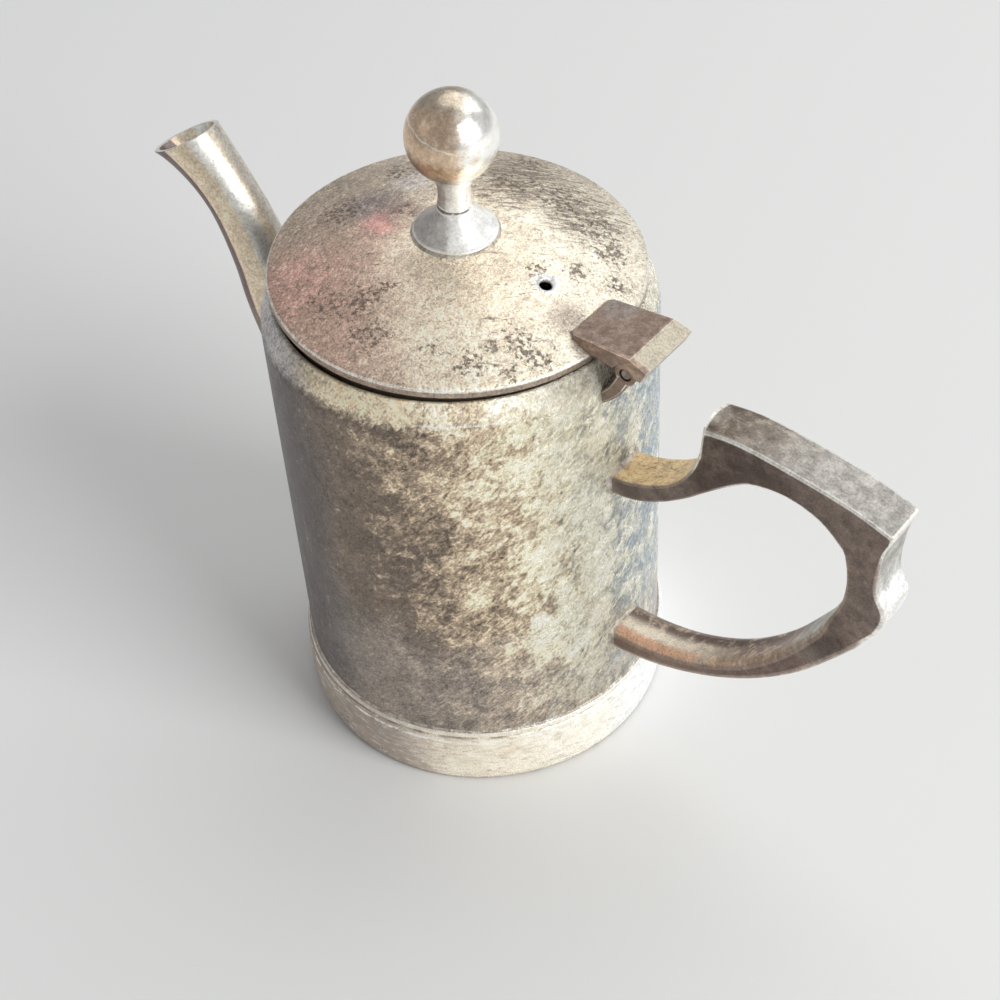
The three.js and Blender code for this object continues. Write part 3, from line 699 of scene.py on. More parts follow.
def lid_finish():
    """Champagne in front, mauve and grey-brown to the left and behind, with dark pits, cracks and blots, the
    knob's painted shade in front of it, and painted highlights along the edge and round the vent.
    """
    def heading(turn):
        return (0, 0, CAMERA_AZIMUTH + turn)

    f = Finish("pitted_lid_painted_light", ajar=True)
    right, away, up = f.along(VIEW_RIGHT, VIEW_AWAY, UP)
    cloud = f.noise(11, shift=19, detail=5, rough=0.6, warp=0.3)
    patch = f.noise(3.4, shift=33, detail=9, rough=0.72, warp=0.3)
    fleck = f.noise((1.1, 0.7, 0.7), shift=8, turn=heading(0.9), detail=7, rough=0.74, warp=0.5)
    grain = f.noise(0.34, shift=3, detail=3)
    blot = f.noise(0.85, shift=5, detail=6, rough=0.68, warp=0.3)
    wave = f.noise((3.6, 0.7, 3), shift=2, turn=heading(0), detail=7, rough=0.7, warp=0.8)
    scratch = f.noise((0.2, 9, 9), shift=4, turn=heading(0.7), detail=2)
    scuff = f.noise((8, 0.2, 8), shift=14, turn=heading(0.25), detail=2)

    def spot(right_mm, away_mm, radius, soft=0.85):
        across = [right_mm * a + away_mm * b for a, b in zip(VIEW_RIGHT, VIEW_AWAY)]
        return f.near((across[0], across[1], dome_height(math.hypot(right_mm, away_mm))), radius, soft)

    def spots(*places):
        masks = [spot(*place) for place in places]
        for mask in masks[1:]:
            masks[0] = masks[0].larger(mask)
        return masks[0]

    clusters = spots(
        (-16, -15, 8), (-15, -21, 7), (-22, -13, 7), (-5, -25.5, 3), (1, -28.4, 5), (4.6, -25.2, 3.5),
        (8.8, -25, 5), (12, -27, 5), (7.5, -30, 4), (-12, -12, 3), (20, -9, 4), (27, -10, 4.5), (24, 4, 9),
        (19, 11, 10), (26, -3, 6), (11, 16, 11), (13, 25, 8), (-20, 10, 8), (-9, 22, 8), (13, -10, 4),
    )
    behind = spots((12, 17, 18), (22, 8, 14), (4, 26, 10))
    smudges = spots((-2.4, -26.3, 4.2), (8.8, -24.8, 5), (11.8, -27.6, 6), (27, -10.5, 5), (0.8, -28.6, 4))
    pits = (blot + patch * 0.25 + grain * 0.12 + clusters * 0.17).rise(0.845, 0.905)
    cracks = (wave + behind * 0.17).rise(0.6, 0.68)
    left = (cloud * 14 + patch * 14 - right).rise(14, 36)
    back = (cloud * 12 + patch * 12 + away - right * 0.3).rise(12, 34)
    # shade: the knob's painted shade on the lid in front of it
    shade = spots((1, -11.6, 8), (-5, -8.5, 7), (8, -9, 6)) * patch.rise(0.38, 0.54)
    rose = spot(-12.5, 3.6, 6.0) * (patch * 0.7 + fleck * 0.5).rise(0.48, 0.66)
    flushed = spot(-29, -6.5, 13) * (patch + fleck * 0.6).rise(0.62, 0.9)
    ink = spot(-8.5, 6, 5.5) * patch.rise(0.42, 0.54)
    violet = spot(-14.5, 10.5, 8) * 0.7
    rim = up.rise(DOME_FOOT - 0.3, DOME_FOOT - 0.5)
    # rim_highlight: a painted highlight line along the lid's edge
    rim_highlight = (up - DOME_FOOT + 0.12).size().rise(0.26, 0.1)
    # vent: a painted highlight on the dimple round the vent
    vent = spot(14.5, -12.6, 2.7, 0.3)

    colour = f.coats(
        (1.0, 0.86, 0.67),
        (cloud.rise(0.42, 0.6) * 0.5, (0.88, 0.72, 0.55)),
        (patch.rise(0.5, 0.6) * 0.6, (1.0, 0.92, 0.74)),
        (right.rise(4, 20) * 0.8, (0.93, 0.84, 0.69)),
        (left * 0.9, (0.58, 0.39, 0.31)),
        (back * 0.75, (0.54, 0.465, 0.37)),
        (flushed * 0.7, (0.78, 0.44, 0.38)),
        (violet, (0.3, 0.25, 0.255)),
        (spot(-7.2, 16.4, 4.5, 0.5) * 0.7, (0.72, 0.65, 0.62)),
        # The knob's painted shade
        (shade * 0.65, (0.5, 0.42, 0.325)),
        (rose * 0.9, (0.76, 0.4, 0.36)),
        (ink * 0.85, (0.2, 0.125, 0.125)),
        (fleck.rise(0.54, 0.66) * 0.4, (0.98, 0.88, 0.72)),
        (cracks * 0.75, (0.27, 0.22, 0.17)),
        (smudges * (blot * 0.6 + patch * 0.7).rise(0.66, 0.74) * 0.8, (0.34, 0.32, 0.28)),
        (spot(17.5, -19.2, 5) * (0.4 + patch) * 0.8, (0.36, 0.29, 0.245)),
        (pits * 0.85, (0.2, 0.155, 0.125)),
        (scratch.rise(0.68, 0.74) * 0.4, (0.98, 0.95, 0.88)),
        (scuff.rise(0.68, 0.75) * 0.3, (0.98, 0.95, 0.88)),
        # Painted highlight round the vent
        (vent * 0.85, (0.97, 0.97, 0.94)),
        (rim * 0.85, (0.34, 0.27, 0.22)),
        # Painted highlight along the edge
        (rim_highlight * 0.8, (1.0, 0.95, 0.85)),
    )
    colour = f.tone(colour, 1.02, (fleck, 2.0), (grain, 1.7), (patch, 1.4))
    roughness = 0.33 + 0.2 * pits + 0.1 * left + (fleck - 0.5) * 0.4 + 0.1 * cracks
    height = cloud * 0.4 - pits * 0.16 - cracks * 0.16 + fleck * 0.2 + patch * 0.2 + grain * 0.05
    return f.metal(colour, roughness, height, 0.6, 0.75)


def lid_ring_finish():
    """The underside and the ring: duller, with less wear."""
    f = Finish("lid_underside")
    cloud = f.noise(9, shift=29, detail=6, rough=0.6, warp=0.4)
    fine = f.noise(0.7, shift=3, detail=3)
    colour = f.coats(
        (0.62, 0.55, 0.46),
        (cloud.rise(0.4, 0.65), (0.4, 0.33, 0.27)),
        (fine.rise(0.62, 0.7) * 0.6, (0.15, 0.11, 0.09)),
    )
    return f.metal(colour, 0.4 + 0.2 * cloud, cloud * 0.5 + fine * 0.1, 0.2)


def knob_finish():
    """Tan on the ball's left with painted shade under it, and a painted cream highlight on its right; silvery
    on the neck and the flared foot, with painted highlights on the right and painted shade on the left.
    """
    f = Finish("knob_painted_light", ajar=True)
    right, away, up = f.along(VIEW_RIGHT, VIEW_AWAY, UP)
    cloud = f.noise(4, shift=6, detail=6, rough=0.6, warp=0.4)
    patch = f.noise(1.3, shift=47, detail=7, rough=0.7)
    grain = f.noise(0.36, shift=1, detail=3)
    ring = f.noise((60, 60, 0.4), shift=12, detail=2)
    stripe = f.noise((0.8, 0.8, 30), shift=21, detail=3)
    stem = up.rise(BALL_Z - BALL_RADIUS * 0.8, BALL_Z - BALL_RADIUS * 0.9)
    flare = up.rise(KNOB_BASE_TOP + 0.2, KNOB_BASE_TOP - 0.1)
    # under: painted shade under the ball, towards the left
    under = ((up - BALL_Z) * -0.85 - right * 0.6 + cloud * 4).rise(5.2, 9.2)
    # ball_highlight: the painted highlight on the ball's right
    ball_highlight = (right - away * 0.2 + cloud * 4 + patch * 2).rise(3.4, 7.4)
    crown = (up - BALL_Z + away * 0.35 + patch * 1.5).rise(5.4, 7.4)
    scratched = (right * 0.3 + up - BALL_Z - 2.3 + cloud * 1.4).size().rise(0.24, 0.08) * right.rise(2, -1)
    joint = (up - KNOB_BASE_TOP - 0.05).size()
    # flare_lit_side: the flare's lit right side, for its painted highlights
    flare_lit_side = right + cloud * 4
    colour = f.coats(
        (0.74, 0.55, 0.39),
        (cloud.rise(0.42, 0.6) * 0.7, (0.56, 0.42, 0.3)),
        (patch.rise(0.54, 0.64) * 0.4, (0.92, 0.74, 0.56)),
        (crown * 0.8, (0.5, 0.44, 0.35)),
        # Painted shade under the ball, then the painted highlight on its right
        (under * 0.8, (0.24, 0.18, 0.15)),
        (ball_highlight, (1.0, 0.97, 0.9)),
        (ball_highlight * cloud.rise(0.56, 0.66) * 0.4, (0.74, 0.72, 0.62)),
        (scratched * 0.8, (1.0, 0.93, 0.8)),
        (stem, (0.98, 0.96, 0.91)),
        # Painted shade on the neck's left
        (stem * (right + stripe * 2.4).rise(0.4, -0.9) * 0.8, (0.44, 0.41, 0.38)),
        # Painted highlights on the flare's right, then painted shade on its left
        (flare * flare_lit_side.rise(5.6, 8.6), (0.88, 0.94, 1.0)),
        (flare * flare_lit_side.rise(1.6, 4.0) * 0.8, (1.0, 0.99, 0.95)),
        (flare * (right - cloud * 5).rise(-3.0, -6.0) * 0.65, (0.5, 0.47, 0.44)),
        (joint.rise(0.3, 0.12) * stripe.rise(0.4, 0.54) * 0.8, (0.22, 0.19, 0.17)),
        # Painted highlight lines on the collar above the joint and round the foot's lower edge
        ((joint - 0.5).size().rise(0.2, 0.08) * 0.8, (1.0, 0.98, 0.94)),
        ((up - dome_height(KNOB_BASE_RADIUS) - 0.6).rise(0.35, 0.05) * 0.8, (1.0, 0.97, 0.88)),
    )
    colour = f.tone(colour, 1.08, (patch, 1.2), (grain, 0.8))
    roughness = 0.17 + 0.12 * cloud + 0.05 * ring
    height = cloud * 0.5 + patch * 0.12 + ring * 0.06 + grain * 0.05
    return f.metal(colour, roughness, height, 0.3, 0.85 - 0.35 * stem)


def cast_finish():
    """Brown cast metal, silvery towards the bar's outer end, with painted highlights along the bar's edges
    and on the heel, a painted highlight on the near side of the arm's root and painted shade on its far side.
    """
    f = Finish("casting_painted_light")
    sideways, out, up = f.along(SIDE, OUT, UP)
    side = sideways.size()
    cloud = f.noise(6, shift=16, detail=6, rough=0.6, warp=0.4)
    patch = f.noise(2.4, shift=71, detail=9, rough=0.7, warp=0.3)
    brushed = f.noise((7, 0.45, 2.5), shift=8, detail=4, rough=0.6)
    cut = f.noise((1.5, 0.8, 1.0), shift=43, detail=6, rough=0.65, warp=1.6)
    grain = f.noise(0.4, shift=3, detail=3, rough=0.6)
    edge = f.attribute("edge")
    corner = f.attribute("corner")
    flank = side.rise(HANDLE_HALF_WIDTH - 0.4, HANDLE_HALF_WIDTH - 0.1)
    arm = (up + cloud * 3).rise(57, 47)
    bar_flank = flank * (1 - arm)
    shelf = (out + patch * 1.5).rise(54, 51.5) * up.rise(60, 66)
    heel = (out - up * 0.12).rise(77, 79) * up.rise(88, 84)
    bar = up.rise(78, 83)
    bar_end = (out + cloud * 14 + patch * 8).rise(66, 92)
    # low_root: the arm near its lower root, whose near side gets a painted highlight
    low_root = arm * (out + cloud * 10).rise(70, 50)
    # far_side_shade: painted shade on the arm's far side
    far_side_shade = arm * (sideways + cloud * 2).rise(0.2, 2.6)
    # ridge_highlight: painted highlights along the outer edges
    ridge_highlight = edge.rise(0.25, 0.7) * (0.55 + cloud).rise(0.7, 1.0)
    colour = f.coats(
        (0.2, 0.16, 0.125),
        (cloud.rise(0.42, 0.6) * 0.6, (0.14, 0.105, 0.08)),
        (patch.rise(0.5, 0.6) * 0.6, (0.33, 0.28, 0.225)),
        (bar_end * 0.9, (0.49, 0.475, 0.44)),
        (bar_end * patch.rise(0.56, 0.46) * 0.5, (0.36, 0.335, 0.3)),
        (brushed.rise(0.56, 0.7) * 0.25, (0.6, 0.58, 0.53)),
        (shelf * 0.95, (1.0, 0.74, 0.42)),
        (shelf * cut.rise(0.55, 0.59) * 0.7, (0.36, 0.22, 0.12)),
        (shelf * cut.rise(0.44, 0.36) * 0.6, (1.0, 0.88, 0.62)),
        (arm * 0.95, (0.36, 0.25, 0.2)),
        # A painted cream highlight on the arm's near side with a copper-orange band under it, then painted
        # shade on its far side
        (low_root * sideways.rise(2.2, -0.4) * 0.95, (1.0, 0.89, 0.74)),
        (low_root * sideways.rise(-1.7, -3.0) * cloud.rise(0.34, 0.48) * 0.9, (0.95, 0.5, 0.29)),
        (far_side_shade * 0.85, (0.15, 0.105, 0.085)),
        (arm * patch.rise(0.5, 0.6) * 0.5, (0.76, 0.61, 0.49)),
        # heel: a painted white highlight
        (heel, (1.0, 1.0, 0.98)),
        (bar_flank * 0.97, (0.115, 0.083, 0.07)),
        (bar_flank * (cloud * 0.7 + patch * 0.3).rise(0.46, 0.62) * 0.6, (0.25, 0.185, 0.155)),
        (flank * arm * 0.9, (0.17, 0.12, 0.1)),
        (flank * (out + up * 0.5).rise(112, 116) * 0.3, (0.4, 0.31, 0.265)),
        (corner.rise(0.2, 0.8) * 0.6, (0.09, 0.065, 0.05)),
        # Painted highlights along the edges, strongest on the bar and the heel
        (ridge_highlight * bar * 0.95, (0.97, 0.93, 0.85)),
        (ridge_highlight * heel, (1.0, 0.99, 0.96)),
        (ridge_highlight * (1 - bar) * 0.3, (0.7, 0.56, 0.46)),
    )
    colour = f.tone(colour, 1.0, (patch, 1.6), (grain, 1.2))
    roughness = 0.36 + 0.12 * cloud - 0.08 * edge
    height = cloud * 0.45 + patch * 0.24 + brushed * 0.1 + grain * 0.1
    return f.metal(colour, roughness, height, 0.5, 0.8 - 0.65 * shelf - 0.4 * low_root)


def hinge_finish():
    """The leaf and the bracket: mauve-brown, with painted cream highlights along the edges and a lighter
    bevel.
    """
    f = Finish("hinge_painted_light")
    out, side, up = f.along(OUT, SIDE, UP)
    cloud = f.noise(3.4, shift=26, detail=6, rough=0.6, warp=0.4)
    patch = f.noise(1.4, shift=77, detail=8, rough=0.7)
    grain = f.noise(0.36, shift=3, detail=3, rough=0.6)
    edge = f.attribute("edge")
    corner = f.attribute("corner")
    bevel = (out + (cloud - 0.5) * 1.2).rise(40.0, 41.2) * up.rise(97.5, 98.5)
    near_side = side.rise(-5.2, -5.7) * up.rise(97.6, 98.4)
    ear = up.rise(98.9, 98.2) * out.rise(34.0, 35.0)
    colour = f.coats(
        (0.24, 0.17, 0.135),
        (cloud.rise(0.4, 0.62) * 0.8, (0.33, 0.25, 0.2)),
        (f.near((31.5, 4.2, 100.4), 4.2) * cloud.rise(0.3, 0.5) * 0.7, (0.3, 0.275, 0.25)),
        (patch.rise(0.54, 0.66) * 0.4, (0.34, 0.27, 0.225)),
        (ear * 0.8, (0.3, 0.22, 0.18)),
        (bevel * 0.95, (0.6, 0.545, 0.43)),
        (bevel * patch.rise(0.5, 0.62) * 0.5, (0.38, 0.335, 0.26)),
        (near_side * 0.85, (0.5, 0.345, 0.265)),
        (near_side * cloud.rise(0.44, 0.56) * 0.8, (0.27, 0.2, 0.165)),
        (corner.rise(0.3, 0.8) * 0.7, (0.08, 0.06, 0.045)),
        # Painted cream highlights along the edges
        (edge.rise(0.36, 0.7) * 0.9, (0.98, 0.9, 0.78)),
    )
    colour = f.tone(colour, 1.0, (patch, 1.5), (grain, 1.2))
    roughness = 0.34 + 0.16 * cloud - 0.06 * edge
    return f.metal(colour, roughness, cloud * 0.5 + patch * 0.2 + grain * 0.1, 0.4, 0.8)


def fixing_finish():
    f = Finish("dull_fixing")
    cloud = f.noise(2, shift=9, detail=5, rough=0.6)
    grit = f.noise(0.4, shift=2, detail=3)
    colour = f.coats(
        (0.48, 0.42, 0.37),
        (cloud.rise(0.4, 0.6), (0.32, 0.26, 0.22)),
        (grit.rise(0.6, 0.7) * 0.6, (0.15, 0.11, 0.09)),
    )
    return f.metal(colour, 0.42 + 0.2 * cloud, cloud * 0.4 + grit * 0.15, 0.1)


def solder_finish():
    """Crinkled solder in the joints, brown where dirt has settled."""
    f = Finish("pale_solder")
    cloud = f.noise(2.2, shift=9, detail=6, rough=0.66, warp=0.5)
    grit = f.noise(0.5, shift=2, detail=4, rough=0.6)
    colour = f.coats(
        (0.66, 0.61, 0.53),
        (cloud.rise(0.48, 0.6) * 0.8, (0.4, 0.345, 0.29)),
        (cloud.rise(0.44, 0.36) * 0.7, (0.92, 0.9, 0.84)),
        (grit.rise(0.58, 0.66) * 0.6, (0.22, 0.175, 0.14)),
    )
    colour = f.tone(colour, 1.0, (grit, 1.6))
    return f.metal(colour, 0.3 + 0.2 * cloud, cloud * 0.7 + grit * 0.3, 0.6)


# Pieces of the pot

def spout_radius(t):
    if t < SPOUT_WAIST_AT:
        return SPOUT_WAIST_RADIUS + (SPOUT_ROOT_RADIUS - SPOUT_WAIST_RADIUS) * (1 - t / SPOUT_WAIST_AT)
    s = (t - SPOUT_WAIST_AT) / (1 - SPOUT_WAIST_AT)
    return SPOUT_WAIST_RADIUS + (SPOUT_MOUTH_RADIUS - SPOUT_WAIST_RADIUS) * s ** SPOUT_FLARE


class Spout:
    """Points on the spout's skin, by place along its line and angle round it."""

    def __init__(self, count=120):
        self.line = even_curve([Vector((x, 0, z)) for x, z in SPOUT_LINE], count)
        self.count = count

    def point(self, t, angle, wall=0.0):
        place = min(max(t, 0.0), 1.0) * self.count
        index = min(int(place), self.count - 1)
        centre = self.line[index].lerp(self.line[index + 1], place - index)
        along = (self.line[min(index + 2, self.count)] - self.line[max(index - 1, 0)]).normalized()
        across = along.cross(Vector((0, 1, 0)))
        radius = spout_radius(t) - wall
        return centre + Vector((0, radius * math.cos(angle), 0)) + across * radius * math.sin(angle)

    def ends(self, angle, wall=0.0):
        """Where a line along the skin starts in the body's wall, and where it ends just below the mouth."""
        sunk = BODY_WALL * (SPOUT_BORE_SINK if wall else SPOUT_SINK)
        start = crossing(lambda t: self.point(t * SPOUT_ROOT_SHARE, angle, wall), sunk)[0]

        def below_mouth(t):
            return (self.point(t, angle, wall) - SPOUT_MOUTH).dot(SPOUT_MOUTH_NORMAL) < -SPOUT_LIP
        return start * SPOUT_ROOT_SHARE, last_inside(below_mouth, 0.5, 1.0)


def spout_mesh(spout, rows_along=90):
    """The tube: up the inside, over a rounded lip, and down the outside. Its points keep their place
    along the tube ("along") and how far round to the photograph's right they face ("facing")."""
    lines, along, facing = [], [], []
    for angle in turns(TUBE_SEGMENTS):
        start, stop = spout.ends(angle, SPOUT_WALL)
        up_inside = steps(start, stop, rows_along)
        inside = [spout.point(t, angle, SPOUT_WALL) for t in up_inside]
        start, stop = spout.ends(angle)
        down_outside = steps(stop, start, rows_along)
        outside = [spout.point(t, angle) for t in down_outside]
        middle = (inside[-1] + outside[0]) / 2
        half = (outside[0] - inside[-1]) / 2
        over = [
            middle - half * math.cos(a) + SPOUT_MOUTH_NORMAL * SPOUT_LIP * math.sin(a)
            for a in steps(0, math.pi, 4)[1:-1]
        ]
        lines.append(inside + over + outside)
        along.append(up_inside + [1.0] * len(over) + down_outside)
        outward = spout.point(SPOUT_FACING_AT, angle) - spout.point(SPOUT_FACING_AT, angle, 1.0)
        facing.append(outward.dot(Vector(VIEW_RIGHT)))
    rows = list(zip(*lines))
    mesh = skin("spout", rows)
    store(mesh, "along", [t for row in zip(*along) for t in row])
    store(mesh, "facing", facing * len(rows))
    return mesh


def spout_ring(spout, t, wall=0.0):
    return [spout.point(t * SPOUT_ROOT_SHARE, angle, wall) for angle in turns(TUBE_SEGMENTS)]


def spout_bore(spout):
    return skin("bore", [spout_ring(spout, t, SPOUT_WALL) for t in steps(0, 1, 30)], closed=False)


def body_mesh(spout):
    """The shell with its rounded rim, and the hole that the spout's bore makes in it."""
    shoulder_z = RIM_HEIGHT - SHOULDER_HEIGHT
    rim_z = RIM_HEIGHT - RIM_ROUNDING
    heights = steps(SHELL_BOTTOM, shoulder_z, 30) + steps(shoulder_z, rim_z, 14)[1:]
    outside = [(body_radius(z), z) for z in heights]
    rim_middle = body_radius(rim_z) - BODY_WALL / 2
    rim = [
        (rim_middle + BODY_WALL / 2 * math.cos(a), rim_z + RIM_ROUNDING * math.sin(a))
        for a in steps(0, math.pi, 8)[1:-1]
    ]
    inside = [(r - BODY_WALL, z) for r, z in reversed(outside)]
    return cut_away(turned("body", outside + rim + inside), spout_bore(spout))


def foot_mesh():
    """The band, curving in to its edges, with a fine groove under its upper lip and the ledge inside."""
    ledge_radius, ledge_top = FOOT_LEDGE
    top = FOOT_HEIGHT
    low = FOOT_GROOVE_Z - FOOT_GROOVE_WIDTH
    high = FOOT_GROOVE_Z + FOOT_GROOVE_WIDTH
    profile = [(ledge_radius, 0.0), (foot_radius(0) - 0.2, 0.0), (foot_radius(0) - 0.05, 0.06)]
    profile += [(foot_radius(z), z) for z in steps(0.3, low - 0.2, 22)]
    for z in steps(low, high, 8):
        hollow = math.cos((z - FOOT_GROOVE_Z) / FOOT_GROOVE_WIDTH * math.pi / 2)
        profile.append((foot_radius(z) - FOOT_GROOVE_DEPTH * hollow, z))
    profile += [(foot_radius(top - 0.25), top - 0.25), (foot_radius(top) + 0.02, top - 0.06)]
    profile += [(FOOT_INNER + 0.1, top), (FOOT_INNER, top - 0.1)]
    profile += [(FOOT_INNER, ledge_top), (ledge_radius, ledge_top)]
    return turned("foot", profile)


def foot_seam_mesh():
    """Solder that runs up from the band's top edge onto the body."""
    inner = body_radius(FOOT_HEIGHT) - 0.05
    top = FOOT_HEIGHT
    profile = [(inner, top - 0.4), (FOOT_INNER + 0.08, top - 0.2), (FOOT_INNER, top + 0.04)]
    profile += [(inner + 0.16, top + 0.16), (inner + 0.08, top + 0.36), (inner, top + 0.6)]
    return turned("foot_seam", profile)


def base_mesh():
    """The base plate, with its rim set up from its middle."""
    radius = body_radius(0)
    middle = FOOT_LEDGE[0] - 0.5
    top = BASE_UNDERSIDE + BASE_THICKNESS
    rim_z = BASE_UNDERSIDE + BASE_JOGGLE
    profile = [(AXIS_CAP, BASE_UNDERSIDE)] + [(r, BASE_UNDERSIDE) for r in steps(4, middle, 8)]
    profile += [(middle + 0.2, rim_z), (radius, rim_z), (radius, top)]
    profile += [(r, top) for r in steps(middle, 4, 8)] + [(AXIS_CAP, top)]
    return turned("base", profile, 128, closed=False)


def rounded_section(half_wide, half_high, edge, crown):
    """A box section with rounded corners and a crowned outer side, as (sideways, outward) pairs."""
    wide, high = min(edge, 0.95 * half_wide), min(edge, 0.95 * half_high)
    corners = []
    for index, (x, y) in enumerate(((1, 1), (-1, 1), (-1, -1), (1, -1))):
        corners.append([
            (x * (half_wide - wide) + wide * math.cos(a), y * (half_high - high) + high * math.sin(a))
            for a in [(index + s) * math.pi / 2 for s in steps(0, 1, 5)]
        ])
    out = []
    for corner, after in zip(corners, corners[1:] + corners[:1]):
        (x0, y0), (x1, y1) = corner[-1], after[0]
        out += corner + [(x0 + (x1 - x0) * s, y0 + (y1 - y0) * s) for s in (0.08, 0.29, 0.5, 0.71, 0.92)]
    return [(x, y + crown * (1 - (x / half_wide) ** 2) if y > 0 else y) for x, y in out]


def handle_station(stretch, t):
    """The handle's section at t along one of its stretches, as a ring of points."""
    outer_points, inner_points, _, edge_from, edge_to, crown_at = HANDLE_STRETCHES[stretch]
    outer, inner = [
        HANDLE_FOOT + Vector((point[0], 0, point[1]))
        for point in (spline_point(outer_points, t), spline_point(inner_points, t))
    ]
    edge = edge_from + (edge_to - edge_from) * t
    middle = (outer + inner) / 2
    half_high = (outer - inner).length / 2
    across = (outer - inner).normalized()
    section = rounded_section(HANDLE_HALF_WIDTH, half_high, edge, HANDLE_CROWN * crown_at(t))
    return [middle + across * high + Vector((0, wide, 0)) for wide, high in section]


def handle_mesh():
    """The casting from its upper root round to its lower root, both ending inside the body's wall."""
    rows = []
    for index, stretch in enumerate(HANDLE_STRETCHES):
        rows += [handle_station(index, t) for t in steps(0, 1, stretch[2])]
    rows = [row for row in rows if all(math.hypot(p.x, p.y) > body_radius(p.z) for p in row)]
    first, last = crossing_ring(upper_root, HANDLE_SINK), crossing_ring(lower_root, HANDLE_SINK)
    return skin("handle", [first, *rows, last], closed=False)


def upper_root(t):
    return handle_station(0, t * HANDLE_ROOT_SHARE)


def lower_root(t):
    return handle_station(len(HANDLE_STRETCHES) - 1, 1 - t * HANDLE_ROOT_SHARE)


def crossing_ring(ring_at, depth):
    """The ring of points where the lines of a bar come out through the body's skin, less a depth."""
    size = len(ring_at(0))
    return [crossing(lambda t, j=j: ring_at(t)[j], depth)[1] for j in range(size)]


def fillet_mesh(name, ring_at, reach):
    """A concave solder joint where a bar or tube leaves the body; ring_at gives its rings, inside to out."""
    size = len(ring_at(0))
    rim, out = [], []
    for j in range(size):
        t, point = crossing(lambda t, j=j: ring_at(t)[j])
        rim.append(point)
        out.append((ring_at(min(t + 0.02, 1.0))[j] - ring_at(max(t - 0.02, 0.0))[j]).normalized())
    centre = sum(rim, Vector()) / size
    lines = []
    for point, along in zip(rim, out):
        normal = Vector((point.x, point.y, 0)).normalized()
        away = point - centre
        away = (away - normal * away.dot(normal)).normalized()
        top = point + along * reach
        foot = place_on_body(point + away * reach * 0.9)
        pull = point + (away + along) * SOLDER_BULGE * reach
        curve = []
        for s in steps(0, 1, 6):
            bend = top * (1 - s) ** 2 + pull * 2 * s * (1 - s) + foot * s ** 2
            curve.append(bend + away * 0.04 * (1 - s) + normal * 0.03 * s)
        sunk = normal * SOLDER_SINK
        lines.append([top - away * SOLDER_SINK, *curve, foot - sunk, point - sunk])
    return skin(name, list(zip(*lines)))


def hinge_mesh(node, rounding):
    """A cast hinge piece of the CAD, with its edges worn round."""
    return mark_edges_and_corners(softened(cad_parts[node].data, rounding), HINGE_FULL_BEND)


def pin_mesh():
    """The pin, with a shallow punched centre in each end."""
    half = PIN_HALF_LENGTH
    profile = [(AXIS_CAP, -half + 0.25), (0.35, -half + 0.12), (0.55, -half + 0.02), (0.75, -half)]
    profile += [(PIN_RADIUS, -half + 0.15)]
    profile += [(r, -y) for r, y in reversed(profile)]
    mesh = turned("pin", profile, 40, closed=False)
    mesh.transform(Matrix.Translation(PIN * MM) @ Matrix.Rotation(math.pi / 2, 4, "X"))
    return mesh


# Pieces of the lid

def lid_mesh():
    """The domed sheet with a rounded edge, its vent hole and the dimple round it."""
    edge = LID_RADIUS - 0.35
    inner = LID_RADIUS - LID_SHEET
    profile = [(inner, LID_SEAT + 0.1), (inner + 0.15, LID_SEAT)]
    profile += arc((LID_RADIUS - 0.25, LID_SEAT + 0.25), 0.25, -90, 0, 4)
    profile += arc((edge, DOME_FOOT - 0.3), 0.35, 0, 76, 5)
    profile += [(r, dome_height(r)) for r in steps(edge - 0.1, STUD_RADIUS, 60)]
    profile += [(r, dome_height(r) - LID_SHEET) for r in steps(STUD_RADIUS, inner - 0.3, 30)]
    tilt = math.atan(2 * DOME_RISE * VENT_X / LID_RADIUS ** 2)
    seat = Matrix.Translation(Vector((VENT_X, 0, dome_height(VENT_X))) * MM) @ Matrix.Rotation(tilt, 4, "Y")
    tool = turned("vent", [
        (AXIS_CAP, -4), (VENT_RADIUS, -4), (VENT_RADIUS, -0.55), (VENT_RADIUS + 0.08, -0.38),
        (VENT_RADIUS + 0.28, -0.2), (VENT_DIMPLE_RADIUS, -0.04), (VENT_DIMPLE_RADIUS + 0.5, 0.04),
        (VENT_DIMPLE_RADIUS + 1, 2), (AXIS_CAP, 2),
    ], 48, closed=False)
    tool.transform(seat)
    return cut_away(turned("lid", profile), tool)


def bezel_mesh():
    """The ring under the lid, with a rounded lower edge."""
    top = dome_height(BEZEL_OUTER) - LID_SHEET - 0.05
    inner = BEZEL_OUTER - BEZEL_WALL
    low = BEZEL_BOTTOM
    profile = [(inner, top), (inner, low + 0.2), (inner + 0.15, low)]
    profile += [(BEZEL_OUTER - 0.2, low), (BEZEL_OUTER, low + 0.25)]
    profile += [(BEZEL_OUTER, z) for z in steps(low + 1, top, 3)]
    return turned("bezel", profile, 160)


def knob_base_mesh():
    """The trumpet-flared foot, hollow under, with a small collar line at the top."""
    under = [(r, dome_height(r) + 0.02) for r in steps(STUD_RADIUS, KNOB_BASE_RADIUS - 0.25, 6)]
    edge_z = dome_height(KNOB_BASE_RADIUS) + KNOB_BASE_LIFT + 0.25
    edge = arc((KNOB_BASE_RADIUS - 0.25, edge_z), 0.25, -70, 80, 5)
    wide, low = edge[-1]
    rise = KNOB_BASE_TOP - 0.2 - low
    flare = [
        (NECK_RADIUS + (wide - NECK_RADIUS) * (1 - s) ** KNOB_BASE_FLARE, low + rise * s)
        for s in steps(0, 1, 22)[1:]
    ]
    collar = [(NECK_RADIUS + 0.05, KNOB_BASE_TOP - 0.1), (NECK_RADIUS - 0.08, KNOB_BASE_TOP)]
    return turned("knob_foot", under + edge + flare + collar + [(STUD_RADIUS, KNOB_BASE_TOP)], KNOB_SEGMENTS)


